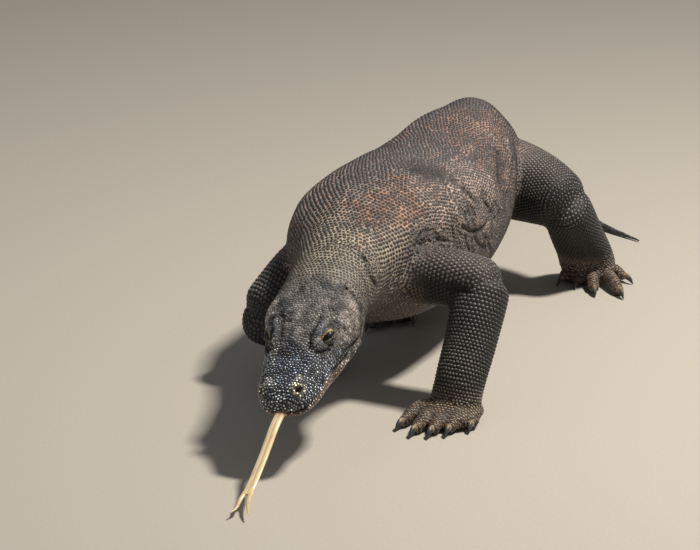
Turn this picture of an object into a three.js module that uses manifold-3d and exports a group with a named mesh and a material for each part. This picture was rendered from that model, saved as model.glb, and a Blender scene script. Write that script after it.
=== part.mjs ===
// A life-size Komodo dragon (Varanus komodoensis), walking low with its tongue out.
// Millimetres, +Z up, floor at Z 0. The animal faces -Y and its left side is +X.
import * as THREE from "three";
import { mergeVertices } from "three/addons/utils/BufferGeometryUtils.js";
import Module from "manifold-3d";

const wasm = await Module();
wasm.setup();

// ---------------------------------------------------------------- sizes
const CUT = 0.3; // gap between neighbouring pieces
const HEAD = { length: 195, pitch: 28, yaw: 7, roll: 5, lips: [50, -363, 88] };
const EYE = { back: 109, side: 38, up: 27, radius: 11.5 };
const MOUTH_CORNER = 128; // how far back the mouth opens
const SIDES = { body: 18, tail: 10, limb: 12, palm: 10, toe: 6, claw: 5, tongue: 5, eye: 9 };

// ---------------------------------------------------------------- finishes
const finish = (color, roughness) =>
  new THREE.MeshStandardMaterial({ color, roughness, metalness: 0 });
const HIDE = finish(0x4b443c, 0.75);
const EYE_GLOSS = finish(0x1d120b, 0.1);
const HORN = finish(0x2a2622, 0.4);
const TONGUE_SKIN = finish(0xdcc48e, 0.5);

// ---------------------------------------------------------------- lofts
const radians = (degrees) => (degrees * Math.PI) / 180;
const vector = (list) => new THREE.Vector3(...list);
const mix = (a, b, t) => a + (b - a) * t;

// A smooth curve through rows of three numbers, read by station: row 0, row 1 and so on.
function smooth(rows) {
  const curve = new THREE.CatmullRomCurve3(rows.map(vector), false, "catmullrom", 0.5);
  const last = rows.length - 1;
  const at = (station) => curve.getPoint(THREE.MathUtils.clamp(station / last, 0, 1));
  const span = (station) => [Math.max(0, station - 0.02), Math.min(last, station + 0.02)];
  const tangent = (station) => {
    const [low, high] = span(station);
    return at(high).sub(at(low)).normalize();
  };
  const speed = (station) => {
    const [low, high] = span(station);
    return at(low).distanceTo(at(high)) / (high - low);
  };
  return { at, tangent, speed, last };
}

// A closed geometry as one solid that faces out, with its shared points merged.
function solid(geometry) {
  const bare = geometry.clone();
  bare.deleteAttribute("normal");
  bare.deleteAttribute("uv");
  const merged = mergeVertices(bare, 1e-4);
  const vertProperties = merged.attributes.position.array;
  const triVerts = new Uint32Array(merged.index.array);
  const made = new wasm.Manifold(new wasm.Mesh({ numProp: 3, vertProperties, triVerts }));
  if (made.volume() > 0) return made;
  for (let i = 0; i < triVerts.length; i += 3)
    [triVerts[i + 1], triVerts[i + 2]] = [triVerts[i + 2], triVerts[i + 1]];
  return new wasm.Manifold(new wasm.Mesh({ numProp: 3, vertProperties, triVerts }));
}

// Rings of equal point count joined into a tube with closed ends.
function tube(rings) {
  const sides = rings[0].length;
  const positions = rings.flat().flatMap((p) => p.toArray());
  const indices = [];
  for (let r = 0; r < rings.length - 1; r++)
    for (let k = 0; k < sides; k++) {
      const [a, b] = [r * sides + k, r * sides + ((k + 1) % sides)];
      indices.push(a, b, a + sides, b, b + sides, a + sides);
    }
  for (const [ring, flip] of [[0, true], [rings.length - 1, false]]) {
    const middle = new THREE.Vector3();
    rings[ring].forEach((p) => middle.addScaledVector(p, 1 / sides));
    const centre = positions.length / 3;
    positions.push(...middle.toArray());
    for (let k = 0; k < sides; k++) {
      const [a, b] = [ring * sides + k, ring * sides + ((k + 1) % sides)];
      indices.push(...(flip ? [centre, b, a] : [centre, a, b]));
    }
  }
  return solid(
    new THREE.BufferGeometry()
      .setAttribute("position", new THREE.Float32BufferAttribute(positions, 3))
      .setIndex(indices),
  );
}

// One point of a section: half width, height above and depth below its middle, how square it is.
function sectionPoint(angle, wide, above, below, square) {
  const [across, up] = [Math.cos(angle), Math.sin(angle)];
  return [
    wide * Math.sign(across) * Math.abs(across) ** (2 / square),
    (up > 0 ? above : below) * Math.sign(up) * Math.abs(up) ** (2 / square),
  ];
}

// A ring of points about a middle, across two directions.
function ring(middle, left, up, sides, size, square) {
  return Array.from({ length: sides }, (_, k) => {
    const angle = (2 * Math.PI * k) / sides;
    const [across, high] = sectionPoint(angle, size[0], size[1], size[2], square);
    return middle.clone().addScaledVector(left, across).addScaledVector(up, high);
  });
}

// A rounded form along rows of x, y, z, half width, half depth. `top` is the side its depth faces.
// round: how far each end is drawn in to a dome, as a share of the half width there.
function limb(rows, { top, sides, steps, grow = 0, round = [0, 1], square = 2.1 }) {
  const path = smooth(rows.map((row) => row.slice(0, 3)));
  const size = smooth(rows.map((row) => [row[3], row[4], 0]));
  const reach = [0, path.last].map((end, i) => (round[i] * size.at(end).x) / path.speed(end));
  const dome = (i) =>
    (round[i] > 0 ? [25, 57] : []).map((degrees) => [
      Math.abs(i * path.last - reach[i] * (1 - Math.cos(radians(degrees)))),
      Math.sin(radians(degrees)),
    ]);
  const shaft = Array.from({ length: steps + 1 }, (_, i) => [
    mix(reach[0], path.last - reach[1], i / steps),
    1,
  ]);
  return tube(
    [...dome(0), ...shaft, ...dome(1).reverse()].map(([station, scale]) => {
      const along = path.tangent(station);
      const up = vector(top).addScaledVector(along, -vector(top).dot(along)).normalize();
      const left = new THREE.Vector3().crossVectors(along, up);
      const s = size.at(station);
      const [wide, deep] = [s.x * scale + grow, s.y * scale + grow];
      return ring(path.at(station), left, up, sides, [wide, deep, deep], square);
    }),
  );
}

// ---------------------------------------------------------------- model
const dragon = new THREE.Group();
function add(name, manifold, material) {
  const mesh = manifold.getMesh();
  const points = new Float32Array(mesh.numVert * 3);
  for (let i = 0; i < mesh.numVert; i++)
    points.set(mesh.vertProperties.subarray(i * mesh.numProp, i * mesh.numProp + 3), i * 3);
  const geometry = new THREE.BufferGeometry()
    .setAttribute("position", new THREE.BufferAttribute(points, 3))
    .setIndex(new THREE.BufferAttribute(new Uint32Array(mesh.triVerts), 1));
  const made = new THREE.Mesh(geometry, material);
  made.name = name;
  dragon.add(made);
}

// ---------------------------------------------------------------- head, trunk and tail
// The head has its own directions: back along the mouth line, left across it, and up.
const head = (() => {
  const [yaw, pitch, roll] = [HEAD.yaw, HEAD.pitch, HEAD.roll].map(radians);
  const back = new THREE.Vector3(
    -Math.sin(yaw) * Math.cos(pitch),
    Math.cos(yaw) * Math.cos(pitch),
    Math.sin(pitch),
  );
  const level = new THREE.Vector3(0, 0, 1).addScaledVector(back, -back.z).normalize();
  const side = new THREE.Vector3().crossVectors(back, level);
  const left = side.clone().multiplyScalar(Math.cos(roll)).addScaledVector(level, Math.sin(roll));
  const up = level.clone().multiplyScalar(Math.cos(roll)).addScaledVector(side, -Math.sin(roll));
  const place = (distance, across, high) =>
    vector(HEAD.lips)
      .addScaledVector(back, distance)
      .addScaledVector(left, across)
      .addScaledVector(up, high);
  return { back, left, up, place };
})();
const onMouthLine = (distance) => head.place(distance, 0, 0).toArray();

// Each row: x, y, z of the middle; half width, height above it, depth below it; squareness; roll.
const BODY = [
  [...onMouthLine(0), 13, 12, 6, 2.3, HEAD.roll],
  [...onMouthLine(5), 27, 19, 13, 2.4, HEAD.roll],
  [...onMouthLine(18), 36, 26, 20, 2.5, HEAD.roll],
  [...onMouthLine(40), 42, 30, 28, 2.6, HEAD.roll],
  [...onMouthLine(68), 45, 35, 38, 2.6, HEAD.roll],
  [...onMouthLine(97), 50, 42, 49, 2.5, HEAD.roll],
  [...onMouthLine(128), 57, 46, 58, 2.4, HEAD.roll],
  [...onMouthLine(160), 62, 48, 63, 2.3, HEAD.roll],
  [...onMouthLine(HEAD.length), 59, 48, 63, 2.2, HEAD.roll],
  // neck
  [21, -150, 191, 58, 48, 62, 2.1, 4],
  [14, -95, 196, 66, 56, 70, 2.1, 3],
  // trunk
  [4, -35, 192, 88, 74, 90, 2.1, 3],
  [-9, 40, 188, 115, 93, 108, 2.3, 2],
  [-14, 130, 183, 122, 100, 118, 2.3, 0],
  [-17, 225, 179, 121, 99, 119, 2.3, 0],
  [-22, 320, 180, 111, 95, 114, 2.3, 0],
  [-29, 405, 185, 98, 101, 104, 2.2, 0],
  [-35, 480, 187, 76, 97, 90, 1.95, 0],
  [-44, 550, 175, 61, 72, 72, 2.0, 0],
  // tail
  [-58, 630, 146, 50, 55, 60, 2.0, 0],
  [-84, 720, 106, 43, 47, 50, 2.0, 0],
  [-120, 806, 70, 38, 41, 43, 2.0, 0],
  [-164, 888, 42, 32, 36, 36, 2.0, 0],
  [-208, 962, 31, 27, 31, 31, 2.0, 0],
  [-240, 1032, 25, 23, 26, 26, 2.0, 0],
  [-236, 1096, 21, 19, 22, 22, 2.0, 0],
  [-188, 1112, 17, 15.5, 18, 18, 2.0, 0],
  [-136, 1074, 15, 13, 15, 16, 2.0, 0],
  [-92, 1012, 13, 11, 13, 14, 2.0, 0],
  [-50, 944, 11, 9.5, 11, 12, 2.0, 0],
  [-8, 874, 9.5, 8, 9.5, 10, 2.0, 0],
  [54, 817, 7, 6, 7, 7.5, 2.0, 0],
  [136, 774, 2, 1.2, 1.4, 2.4, 2.0, 0],
];
const body = {
  path: smooth(BODY.map((row) => row.slice(0, 3))),
  size: smooth(BODY.map((row) => row.slice(3, 6))),
  form: smooth(BODY.map((row) => [row[6], row[7], 0])),
};

function bodyRing(station, sides, grow = 0) {
  const along = body.path.tangent(station);
  const level = new THREE.Vector3(0, 0, 1).addScaledVector(along, -along.z).normalize();
  const side = new THREE.Vector3().crossVectors(along, level);
  const form = body.form.at(station);
  const roll = radians(form.y);
  const left = side.clone().multiplyScalar(Math.cos(roll)).addScaledVector(level, Math.sin(roll));
  const up = level.clone().multiplyScalar(Math.cos(roll)).addScaledVector(side, -Math.sin(roll));
  const size = body.size.at(station);
  const sizes = [size.x, size.y, size.z].map((value) => value + grow);
  return ring(body.path.at(station), left, up, sides, sizes, form.x);
}

// Station numbers of the rings between two cuts, half a gap inside each.
function bodyStations(from, to, steps) {
  const low = from === 0 ? from : from + CUT / 2 / body.path.speed(from);
  const high = to === body.path.last ? to : to - CUT / 2 / body.path.speed(to);
  return Array.from({ length: steps + 1 }, (_, i) => mix(low, high, i / steps));
}
const ground = solid(new THREE.BoxGeometry(4000, 4000, 200).translate(0, 0, -100));
const aboveFloor = (manifold) => manifold.subtract(ground);

const BODY_PIECES = [
  ["head", 0, 8, 16],
  ["neck", 8, 11, 5],
  ["chest", 11, 14, 5],
  ["belly", 14, 17, 5],
  ["hips", 17, 19, 5],
  ["tail_base", 19, 22, 5],
  ["tail_middle", 22, 26, 8],
  ["tail_end", 26, 29.5, 9],
  ["tail_tip", 29.5, 32, 6],
];
const bodySolids = Object.fromEntries(
  BODY_PIECES.map(([name, from, to, steps]) => {
    const sides = from < 22 ? SIDES.body : SIDES.tail;
    const rings = bodyStations(from, to, steps).map((s) => bodyRing(s, sides));
    return [name, aboveFloor(tube(rings))];
  }),
);

// ---------------------------------------------------------------- mouth, eyes and tongue
// The space of the lower jaw: below the mouth line, back to the corner of the mouth.
function jawSpace(shrink) {
  const line = [[-40, 1], [0, 0], [25, 1], [70, -2], [MOUTH_CORNER - shrink, -5]];
  const outline = line.map(([distance, high]) => new THREE.Vector2(distance, high - shrink));
  outline.push(new THREE.Vector2(MOUTH_CORNER - shrink + 22, -90), new THREE.Vector2(-40, -90));
  const toHead = new THREE.Matrix4()
    .makeBasis(head.back, head.up, head.left)
    .setPosition(head.place(0, -80, 0));
  const block = new THREE.ExtrudeGeometry(new THREE.Shape(outline), { depth: 160, bevelEnabled: false });
  return solid(block.applyMatrix4(toHead));
}

const tongueRows = {
  stem: [
    [50, -338, 97, 6.8, 3.4],
    [50, -366, 88, 6.6, 3.2],
    [52, -392, 77, 6.5, 2.8],
    [55, -430, 52, 6.4, 2.6],
    [57.5, -466, 31, 6.6, 2.4],
    [59, -488, 21, 6.4, 2.2],
  ],
  left: [[61.5, -478, 25, 3.2, 2.2], [65.5, -496, 18, 2.8, 2], [71, -510, 14, 2.1, 1.6], [78, -523, 11, 0.7, 0.7]],
  right: [[55.5, -478, 25, 3.2, 2.2], [54.5, -496, 18, 2.8, 2], [56, -512, 12, 2.1, 1.6], [53, -525, 9, 0.7, 0.7]],
};
const tongueSolid = (grow) =>
  Object.values(tongueRows)
    .map((rows, i) =>
      limb(rows, { top: [0, 0, 1], sides: SIDES.tongue, steps: i ? 3 : 7, grow, round: [0, 0] }),
    )
    .reduce((whole, piece) => whole.add(piece));

function eyeball(side, grow) {
  const centre = head.place(EYE.back, side * EYE.side, EYE.up);
  const ball = new THREE.SphereGeometry(EYE.radius + grow, SIDES.eye, SIDES.eye - 3);
  return solid(ball.translate(centre.x, centre.y, centre.z));
}

const [tongue, hollow] = [tongueSolid(0), tongueSolid(CUT)];
const skull = bodySolids.head;
bodySolids.head = [eyeball(1, CUT), eyeball(-1, CUT), hollow, jawSpace(0)].reduce(
  (whole, piece) => whole.subtract(piece),
  skull,
);
bodySolids.lower_jaw = skull.intersect(jawSpace(CUT)).subtract(hollow);
for (const [name, manifold] of Object.entries(bodySolids)) add(name, manifold, HIDE);
add("tongue", tongue, TONGUE_SKIN);
add("eye_left", eyeball(1, 0), EYE_GLOSS);
add("eye_right", eyeball(-1, 0), EYE_GLOSS);

// ---------------------------------------------------------------- legs and feet
// Rows run down each leg: x, y, z, half width, half depth.
// Feet: middle of the sole, heading in degrees from -Y towards +X, and toes from the inside out
// as the root's place across and ahead of that middle, turn from the heading, reach from the
// root to the claw's point, and thickness.
const HAND = {
  palm: 38,
  height: 17,
  back: 0,
  toes: [
    [-40, -19, -9, 75, 8.6], [-19, -7, -4, 79, 9], [0, -12, -1, 78, 9.2], [18, -14, 0, 66, 9],
    [34, -31, 7, 56, 8.6],
  ],
  claw: 17,
};
const FOOT = {
  palm: 37,
  height: 17,
  back: 11,
  toes: [
    [-25, -16, -15, 44, 8], [-8, -12, 0, 45, 8.6], [9, -8, 15, 73, 9.2], [25, -20, 29, 94, 9.4],
    [29, -38, 60, 50, 8.2],
  ],
  claw: 17,
};
const LEGS = {
  front_left: {
    plan: HAND,
    side: 1,
    upper: [[20, 12, 168, 48, 48], [84, 4, 170, 41, 42], [138, -2, 172, 39, 40], [206, -8, 165, 39, 39]],
    lower: [[183, 4, 180, 38, 37], [182, -22, 140, 37, 37], [181, -48, 98, 36, 33], [179, -74, 58, 35, 29], [176, -88, 22, 36, 23]],
    foot: [171, -102, 0],
    heading: 0,
  },
  front_right: {
    plan: HAND,
    side: -1,
    upper: [[-46, 36, 174, 56, 60], [-88, 14, 150, 47, 50], [-108, -20, 128, 40, 40], [-130, -60, 94, 35, 35]],
    lower: [[-126, -66, 100, 33, 34], [-122, -34, 84, 36, 34], [-112, 4, 60, 33, 29], [-104, 34, 28, 31, 22]],
    foot: [-104, 26, 0],
    heading: -8,
  },
  hind_left: {
    plan: FOOT,
    side: 1,
    upper: [[-22, 520, 164, 62, 58], [34, 510, 159, 59, 55], [84, 494, 152, 51, 49], [134, 470, 142, 38, 39]],
    lower: [[120, 466, 150, 36, 36], [121, 492, 122, 38, 37], [122, 522, 86, 40, 35], [125, 550, 50, 43, 29], [128, 560, 26, 45, 24]],
    foot: [129, 542, 0],
    heading: 10,
  },
  hind_right: {
    plan: FOOT,
    side: -1,
    upper: [[-36, 505, 164, 62, 58], [-84, 474, 159, 59, 55], [-114, 446, 153, 51, 49], [-146, 408, 142, 38, 39]],
    lower: [[-142, 416, 152, 36, 36], [-126, 382, 120, 37, 37], [-104, 346, 84, 36, 34], [-80, 306, 50, 36, 28], [-74, 288, 26, 36, 24]],
    foot: [-66, 264, 0],
    heading: 12,
  },
};
const LEG_NAMES = { front: ["upper_arm", "forearm", "hand"], hind: ["thigh", "shank", "foot"] };

// The trunk, a gap larger, as one cutter over the same rings.
const cutter = tube(
  BODY_PIECES.slice(1, 6).flatMap(([, from, to, steps]) =>
    bodyStations(from, to, steps).map((s) => bodyRing(s, SIDES.body, CUT)),
  ),
);

for (const [name, leg] of Object.entries(LEGS)) {
  const [place, side] = name.split("_");
  const [upperName, lowerName, footName] = LEG_NAMES[place];
  const forward = [0, -1, 0];
  const upper = (grow) =>
    limb(leg.upper, { top: forward, sides: SIDES.limb, steps: 3, grow, round: [0, 0.78] });
  const lower = (grow) =>
    limb(leg.lower, { top: forward, sides: SIDES.limb, steps: 5, grow, round: [0.66, 0] });
  const heading = (turn) => {
    const angle = radians(leg.heading + leg.side * turn);
    return new THREE.Vector3(Math.sin(angle), -Math.cos(angle), 0);
  };
  const { plan } = leg;
  const footMiddle = vector(leg.foot);
  const along = heading(0);
  const outward = new THREE.Vector3(-along.y, along.x, 0).multiplyScalar(leg.side);
  const row = (p, wide, deep) => [...p.toArray(), wide, deep];
  const sole = (distance, high) =>
    footMiddle.clone().addScaledVector(along, distance - plan.back).setZ(high);
  let foot = limb(
    [
      row(sole(-34, 18.5), plan.palm * 0.86, plan.height + 4),
      row(sole(-16, 18), plan.palm, plan.height + 3.5),
      row(sole(2, 15.5), plan.palm, plan.height + 0.5),
      row(sole(20, 11.5), plan.palm * 0.92, plan.height - 4),
    ],
    { top: [0, 0, 1], sides: SIDES.palm, steps: 2, round: [0.6, 0], square: 2.4 },
  );
  const claws = [];
  plan.toes.forEach(([across, ahead, turn, reach, thick], i) => {
    const way = heading(turn);
    const root = footMiddle.clone().addScaledVector(outward, across).addScaledVector(along, ahead);
    const out = (distance, high, wide, deep) =>
      row(root.clone().addScaledVector(way, distance).setZ(high), wide, deep);
    const end = reach - plan.claw;
    const toe = limb(
      [
        out(0, 17, thick * 0.94, thick + 1),
        out(end * 0.45, 17, thick, thick + 0.6),
        out(end * 0.8, 11.5, thick * 0.96, thick),
        out(end + 2, 6, thick * 0.82, thick * 0.86),
      ],
      { top: [0, 0, 1], sides: SIDES.toe, steps: 2, round: [0, 0.7], square: 2 },
    );
    const claw = (grow) =>
      limb(
        [
          out(end - 5, 9.5, 4, 4.6),
          out(end + 4, 11, 3.9, 5),
          out(end + plan.claw * 0.64, 8, 2.6, 3.6),
          out(reach, 1.8, 0.7, 0.9),
        ],
        { top: [0, 0, 1], sides: SIDES.claw, steps: 2, grow, round: [0, 0], square: 2 },
      );
    foot = foot.add(toe);
    claws.push([`claw_${name}_${i + 1}`, claw]);
  });
  for (const [, claw] of claws) foot = foot.subtract(claw(CUT));
  foot = aboveFloor(foot).subtract(lower(CUT));
  add(`${upperName}_${side}`, upper(0).subtract(cutter), HIDE);
  add(`${lowerName}_${side}`, aboveFloor(lower(0)).subtract(upper(CUT)).subtract(cutter), HIDE);
  add(`${footName}_${side}`, foot, HIDE);
  for (const [clawName, claw] of claws) add(clawName, claw(0), HORN);
}

// The origin is under the middle of the whole animal, on the floor.
const box = new THREE.Box3().setFromObject(dragon);
const middle = box.getCenter(new THREE.Vector3());
dragon.position.set(-middle.x, -middle.y, -box.min.z);

export default dragon;
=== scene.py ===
"""A life-size Komodo dragon, walking low with its forked tongue out.

Shapes are worked out in millimetres in the animal's own frame (nose towards -Y, left side
+X, floor at Z 0) and moved into the finished frame, in metres, when a mesh is made.
"""

import logging
from dataclasses import dataclass
from enum import Enum
from typing import Any, Iterable, Sequence

import bmesh
import bpy
import numpy as np
from bpy.types import Material, Mesh, Node, NodeSocket, NodeTree, Object
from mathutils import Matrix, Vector


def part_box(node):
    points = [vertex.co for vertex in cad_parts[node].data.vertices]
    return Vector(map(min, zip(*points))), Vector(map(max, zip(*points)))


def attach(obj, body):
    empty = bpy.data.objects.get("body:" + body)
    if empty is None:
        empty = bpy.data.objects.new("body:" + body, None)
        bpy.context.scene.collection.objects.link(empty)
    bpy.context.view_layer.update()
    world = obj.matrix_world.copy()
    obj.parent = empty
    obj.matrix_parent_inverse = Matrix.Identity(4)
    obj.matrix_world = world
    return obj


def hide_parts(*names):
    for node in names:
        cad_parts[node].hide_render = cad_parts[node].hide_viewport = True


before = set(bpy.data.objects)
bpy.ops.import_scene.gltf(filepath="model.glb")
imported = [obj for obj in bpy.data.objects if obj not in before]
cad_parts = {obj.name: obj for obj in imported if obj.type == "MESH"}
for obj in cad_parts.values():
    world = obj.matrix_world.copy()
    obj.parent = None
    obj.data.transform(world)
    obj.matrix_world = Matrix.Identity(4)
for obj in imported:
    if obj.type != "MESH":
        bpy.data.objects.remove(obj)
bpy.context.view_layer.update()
LOG = logging.getLogger("dragon")
Array = np.ndarray
Row = tuple[float, ...]
MM = 0.001
SEED = 20261
UP = (0.0, 0.0, 1.0)
KERATIN_IOR = 1.54


# ---------------------------------------------------------------- numbers
def unit(vectors: Array) -> Array:
    """Vectors scaled to length one."""
    return vectors / np.maximum(np.linalg.norm(vectors, axis=-1, keepdims=True), 1e-12)


def turned(left: Array, up: Array, angle: Array | float) -> tuple[Array, Array]:
    """Two directions at right angles, turned together from left towards up."""
    return left * np.cos(angle) + up * np.sin(angle), up * np.cos(angle) - left * np.sin(angle)


def away(points: Array, spot: Array) -> Array:
    """The distance of each point from a place."""
    return np.linalg.norm(points - spot, axis=1)


def ramp(value: Array, low: float, high: float) -> Array:
    """A smooth step: 0 at low, 1 at high, 3t^2 - 2t^3 between."""
    t = np.clip((value - low) / (high - low), 0.0, 1.0)
    return t * t * (3.0 - 2.0 * t)


def bell(distance: Array, width: float) -> Array:
    """A bell: e to the minus (distance / width) squared."""
    return np.exp(-((distance / width) ** 2))


def cloud(points: Array, size: float, seed: int) -> Array:
    """Soft value noise, one number in -1 to 1 per point.

    Random numbers stand at the corners of a cubic grid, and a point takes the smooth-step
    blend of the eight round it.

    Args:
        points: places, (n, 3), in millimetres.
        size: the grid's pitch in millimetres.
        seed: picks the random numbers.
    """
    table = np.random.default_rng(SEED + seed).random((32, 32, 32)) * 2.0 - 1.0
    grid = points / size + 1000.5
    low = np.floor(grid).astype(int)
    t = grid - low
    t = t * t * (3.0 - 2.0 * t)
    value = np.zeros(len(points))
    for corner in np.ndindex(2, 2, 2):
        step = np.array(corner)
        share = np.prod(np.where(step == 1, t, 1.0 - t), axis=1)
        i, j, k = ((low + step) % 32).T
        value += share * table[i, j, k]
    return value


def linear(colour: str) -> Array:
    """An sRGB hex colour as three linear numbers."""
    srgb = np.array([int(colour[i : i + 2], 16) / 255.0 for i in (1, 3, 5)])
    return np.where(srgb <= 0.04045, srgb / 12.92, ((srgb + 0.055) / 1.055) ** 2.4)


def blend(low: Array, high: Array, share: Array) -> Array:
    """Colours mixed: low at share 0, high at share 1."""
    share = np.asarray(share)[..., None]
    return low * (1.0 - share) + high * share


def spline(rows: Array, stations: Array) -> Array:
    """A curve through rows, read by station: row 0, row 1 and so on.

    Between two rows it is the cubic whose slope at each row is half the step from the row
    before to the row after (Catmull-Rom). Past the ends the rows go on in a straight line.

    Args:
        rows: (m, k) values.
        stations: (n,) places along them, 0 to m - 1.

    Returns:
        (n, k) values.
    """
    last = len(rows) - 1
    padded = np.vstack([2 * rows[0] - rows[1], rows, 2 * rows[-1] - rows[-2]])
    station = np.clip(stations, 0.0, last)
    i = np.minimum(station.astype(int), last - 1)
    w = (station - i)[:, None]
    before, start, end, after = (padded[i + k] for k in range(4))
    leave, arrive = (end - before) / 2, (after - start) / 2
    return (
        start
        + leave * w
        + (3 * (end - start) - 2 * leave - arrive) * w**2
        + (2 * (start - end) + leave + arrive) * w**3
    )


# ---------------------------------------------------------------- the animal's plan
@dataclass(frozen=True)
class Head:
    """The head's own directions: back along the mouth line, left across it, and up."""

    lips: Row = (50, -363, 88)
    pitch: float = 28
    yaw: float = 7
    roll: float = 5
    eye: Row = (109, 38, 27)
    eye_radius: float = 11.5
    mouth_corner: float = 128

    def axes(self) -> Array:
        """The three unit directions as rows: back, left and up."""
        yaw, pitch, roll = np.radians([self.yaw, self.pitch, self.roll])
        back = np.array([-np.sin(yaw) * np.cos(pitch), np.cos(yaw) * np.cos(pitch), np.sin(pitch)])
        level = unit(np.array(UP) - back * back[2])
        return np.array([back, *turned(np.cross(back, level), level, roll)])

    def place(self, spots: Array | Row) -> Array:
        """Places from (distance back, across, up)."""
        return np.array(self.lips) + np.atleast_2d(spots) @ self.axes()

    def read(self, points: Array) -> Array:
        """(distance back, across, up) of places."""
        return (points - np.array(self.lips)) @ self.axes().T


HEAD = Head()
ORIGIN = (
    sum((np.array(corner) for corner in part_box("eye_left")), np.zeros(3)) / 2 / MM
    - HEAD.place(HEAD.eye)[0]
)


@dataclass(frozen=True)
class Form:
    """A rounded length of body: sections along a path.

    A section's points are middle + left * wide * cos + up * high * sin, with cos and sin
    each raised to 2 / square, so 2 is an ellipse and more is squarer.

    Fields:
        rows: x, y, z, half width, height above, depth below, squareness, roll in degrees.
        top: the side that the sections' height faces.
        ends: how far each end is drawn in to a dome, as a share of the half width there.
        inset: how far the surface lies under the given sizes.
    """

    name: str
    rows: Array
    top: Row = UP
    ends: tuple[float, float] = (0.0, 0.0)
    inset: float = 1.2

    @property
    def last(self) -> int:
        """The last station."""
        return len(self.rows) - 1

    def _speed(self, station: float) -> float:
        """Millimetres of path per station."""
        ends = np.clip(np.array([station - 0.02, station + 0.02]), 0, self.last)
        low, high = spline(self.rows[:, :3], ends)
        return float(np.linalg.norm(high - low) / (ends[1] - ends[0]))

    def sections(self, stations: Array) -> tuple[Array, Array, Array, Array, Array]:
        """Middle, along, left, up and (wide, above, below, square) at each station.

        Towards a domed end the sizes shrink as the height of a circle does.
        """
        value = spline(self.rows, stations)
        low = spline(self.rows[:, :3], np.clip(stations - 0.02, 0, self.last))
        high = spline(self.rows[:, :3], np.clip(stations + 0.02, 0, self.last))
        along = unit(high - low)
        top = np.array(self.top)
        up = unit(top - along * (along @ top)[:, None])
        left, up = turned(np.cross(along, up), up, np.radians(value[:, 7])[:, None])
        scale = np.ones(len(value))
        for end, share in enumerate(self.ends):
            if share > 0:
                station = end * self.last
                wide = self.rows[station, 3]
                reach = share * wide / self._speed(station)
                gone = 1 - np.abs(stations - station) / reach
                scale *= np.sqrt(np.clip(1 - np.clip(gone, 0, 1) ** 2, 0, 1))
        sizes = value[:, 3:7].copy()
        sizes[:, :3] = np.maximum(sizes[:, :3] * scale[:, None] - self.inset, 0.6 * scale[:, None])
        return value[:, :3], along, left, up, sizes

    def surface(self, stations: Array, angles: Array) -> Array:
        """Points of the form, one for each station and angle from its left side upwards."""
        middle, _, left, up, sizes = self.sections(stations)
        across, high = np.cos(angles), np.sin(angles)
        power = 2.0 / sizes[:, 3]
        reach = np.where(high > 0, sizes[:, 1], sizes[:, 2])
        x = sizes[:, 0] * np.sign(across) * np.abs(across) ** power
        y = reach * np.sign(high) * np.abs(high) ** power
        return middle + left * x[:, None] + up * y[:, None]

    def rows_at(self, start: float, end: float, pitch: Array | float) -> Array:
        """Stations of rows a pitch apart, from the integral of path length over pitch."""
        fine = np.linspace(start, end, 1500)
        points = spline(self.rows[:, :3], fine)
        step = np.linalg.norm(np.diff(points, axis=0), axis=1)
        pitch = np.atleast_1d(pitch)
        gap = np.interp(fine, np.linspace(0, self.last, len(pitch)), pitch)
        count = np.concatenate([[0.0], np.cumsum(step / ((gap[1:] + gap[:-1]) / 2))])
        return np.interp(np.arange(0.5, count[-1]), count, fine)


def body_form() -> Form:
    """Head, neck, trunk and tail on one path."""
    jaw = [
        (0, 13, 12, 6, 2.3), (5, 27, 19, 13, 2.4), (18, 36, 26, 20, 2.5),
        (40, 42, 30, 28, 2.6), (68, 45, 35, 38, 2.6), (97, 50, 42, 49, 2.5),
        (128, 57, 46, 58, 2.4), (160, 62, 48, 63, 2.3), (195, 59, 48, 63, 2.2),
    ]
    head = [(*HEAD.place((d, 0.0, 0.0))[0], *sizes, HEAD.roll) for d, *sizes in jaw]
    rest = [
        (21, -150, 191, 58, 48, 62, 2.1, 4), (14, -95, 196, 66, 56, 70, 2.1, 3),
        (4, -35, 192, 88, 74, 90, 2.1, 3), (-9, 40, 188, 115, 93, 108, 2.3, 2),
        (-14, 130, 183, 122, 100, 118, 2.3, 0), (-17, 225, 179, 121, 99, 119, 2.3, 0),
        (-22, 320, 180, 111, 95, 114, 2.3, 0), (-29, 405, 185, 98, 101, 104, 2.2, 0),
        (-35, 480, 187, 76, 97, 90, 1.95, 0), (-44, 550, 175, 61, 72, 72, 2.0, 0),
        (-58, 630, 146, 50, 55, 60, 2.0, 0), (-84, 720, 106, 43, 47, 50, 2.0, 0),
        (-120, 806, 70, 38, 41, 43, 2.0, 0), (-164, 888, 42, 32, 36, 36, 2.0, 0),
        (-208, 962, 31, 27, 31, 31, 2.0, 0), (-240, 1032, 25, 23, 26, 26, 2.0, 0),
        (-236, 1096, 21, 19, 22, 22, 2.0, 0), (-188, 1112, 17, 15.5, 18, 18, 2.0, 0),
        (-136, 1074, 15, 13, 15, 16, 2.0, 0), (-92, 1012, 13, 11, 13, 14, 2.0, 0),
        (-50, 944, 11, 9.5, 11, 12, 2.0, 0), (-8, 874, 9.5, 8, 9.5, 10, 2.0, 0),
        (54, 817, 7, 6, 7, 7.5, 2.0, 0), (136, 774, 2.6, 3.2, 3.4, 3.4, 2.0, 0),
    ]
    return Form("body", np.array(head + rest, float))


@dataclass(frozen=True)
class Paw:
    """A hand or foot: palm size, how far back the palm sits, and toes from the inside out.

    Fields:
        toes: (the root across and ahead of the foot's middle, turn from the heading in
            degrees, reach from the root to the claw's point, thickness).
    """

    palm: float
    back: float
    toes: tuple[Row, ...]
    claw: float = 17
    height: float = 17


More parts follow.
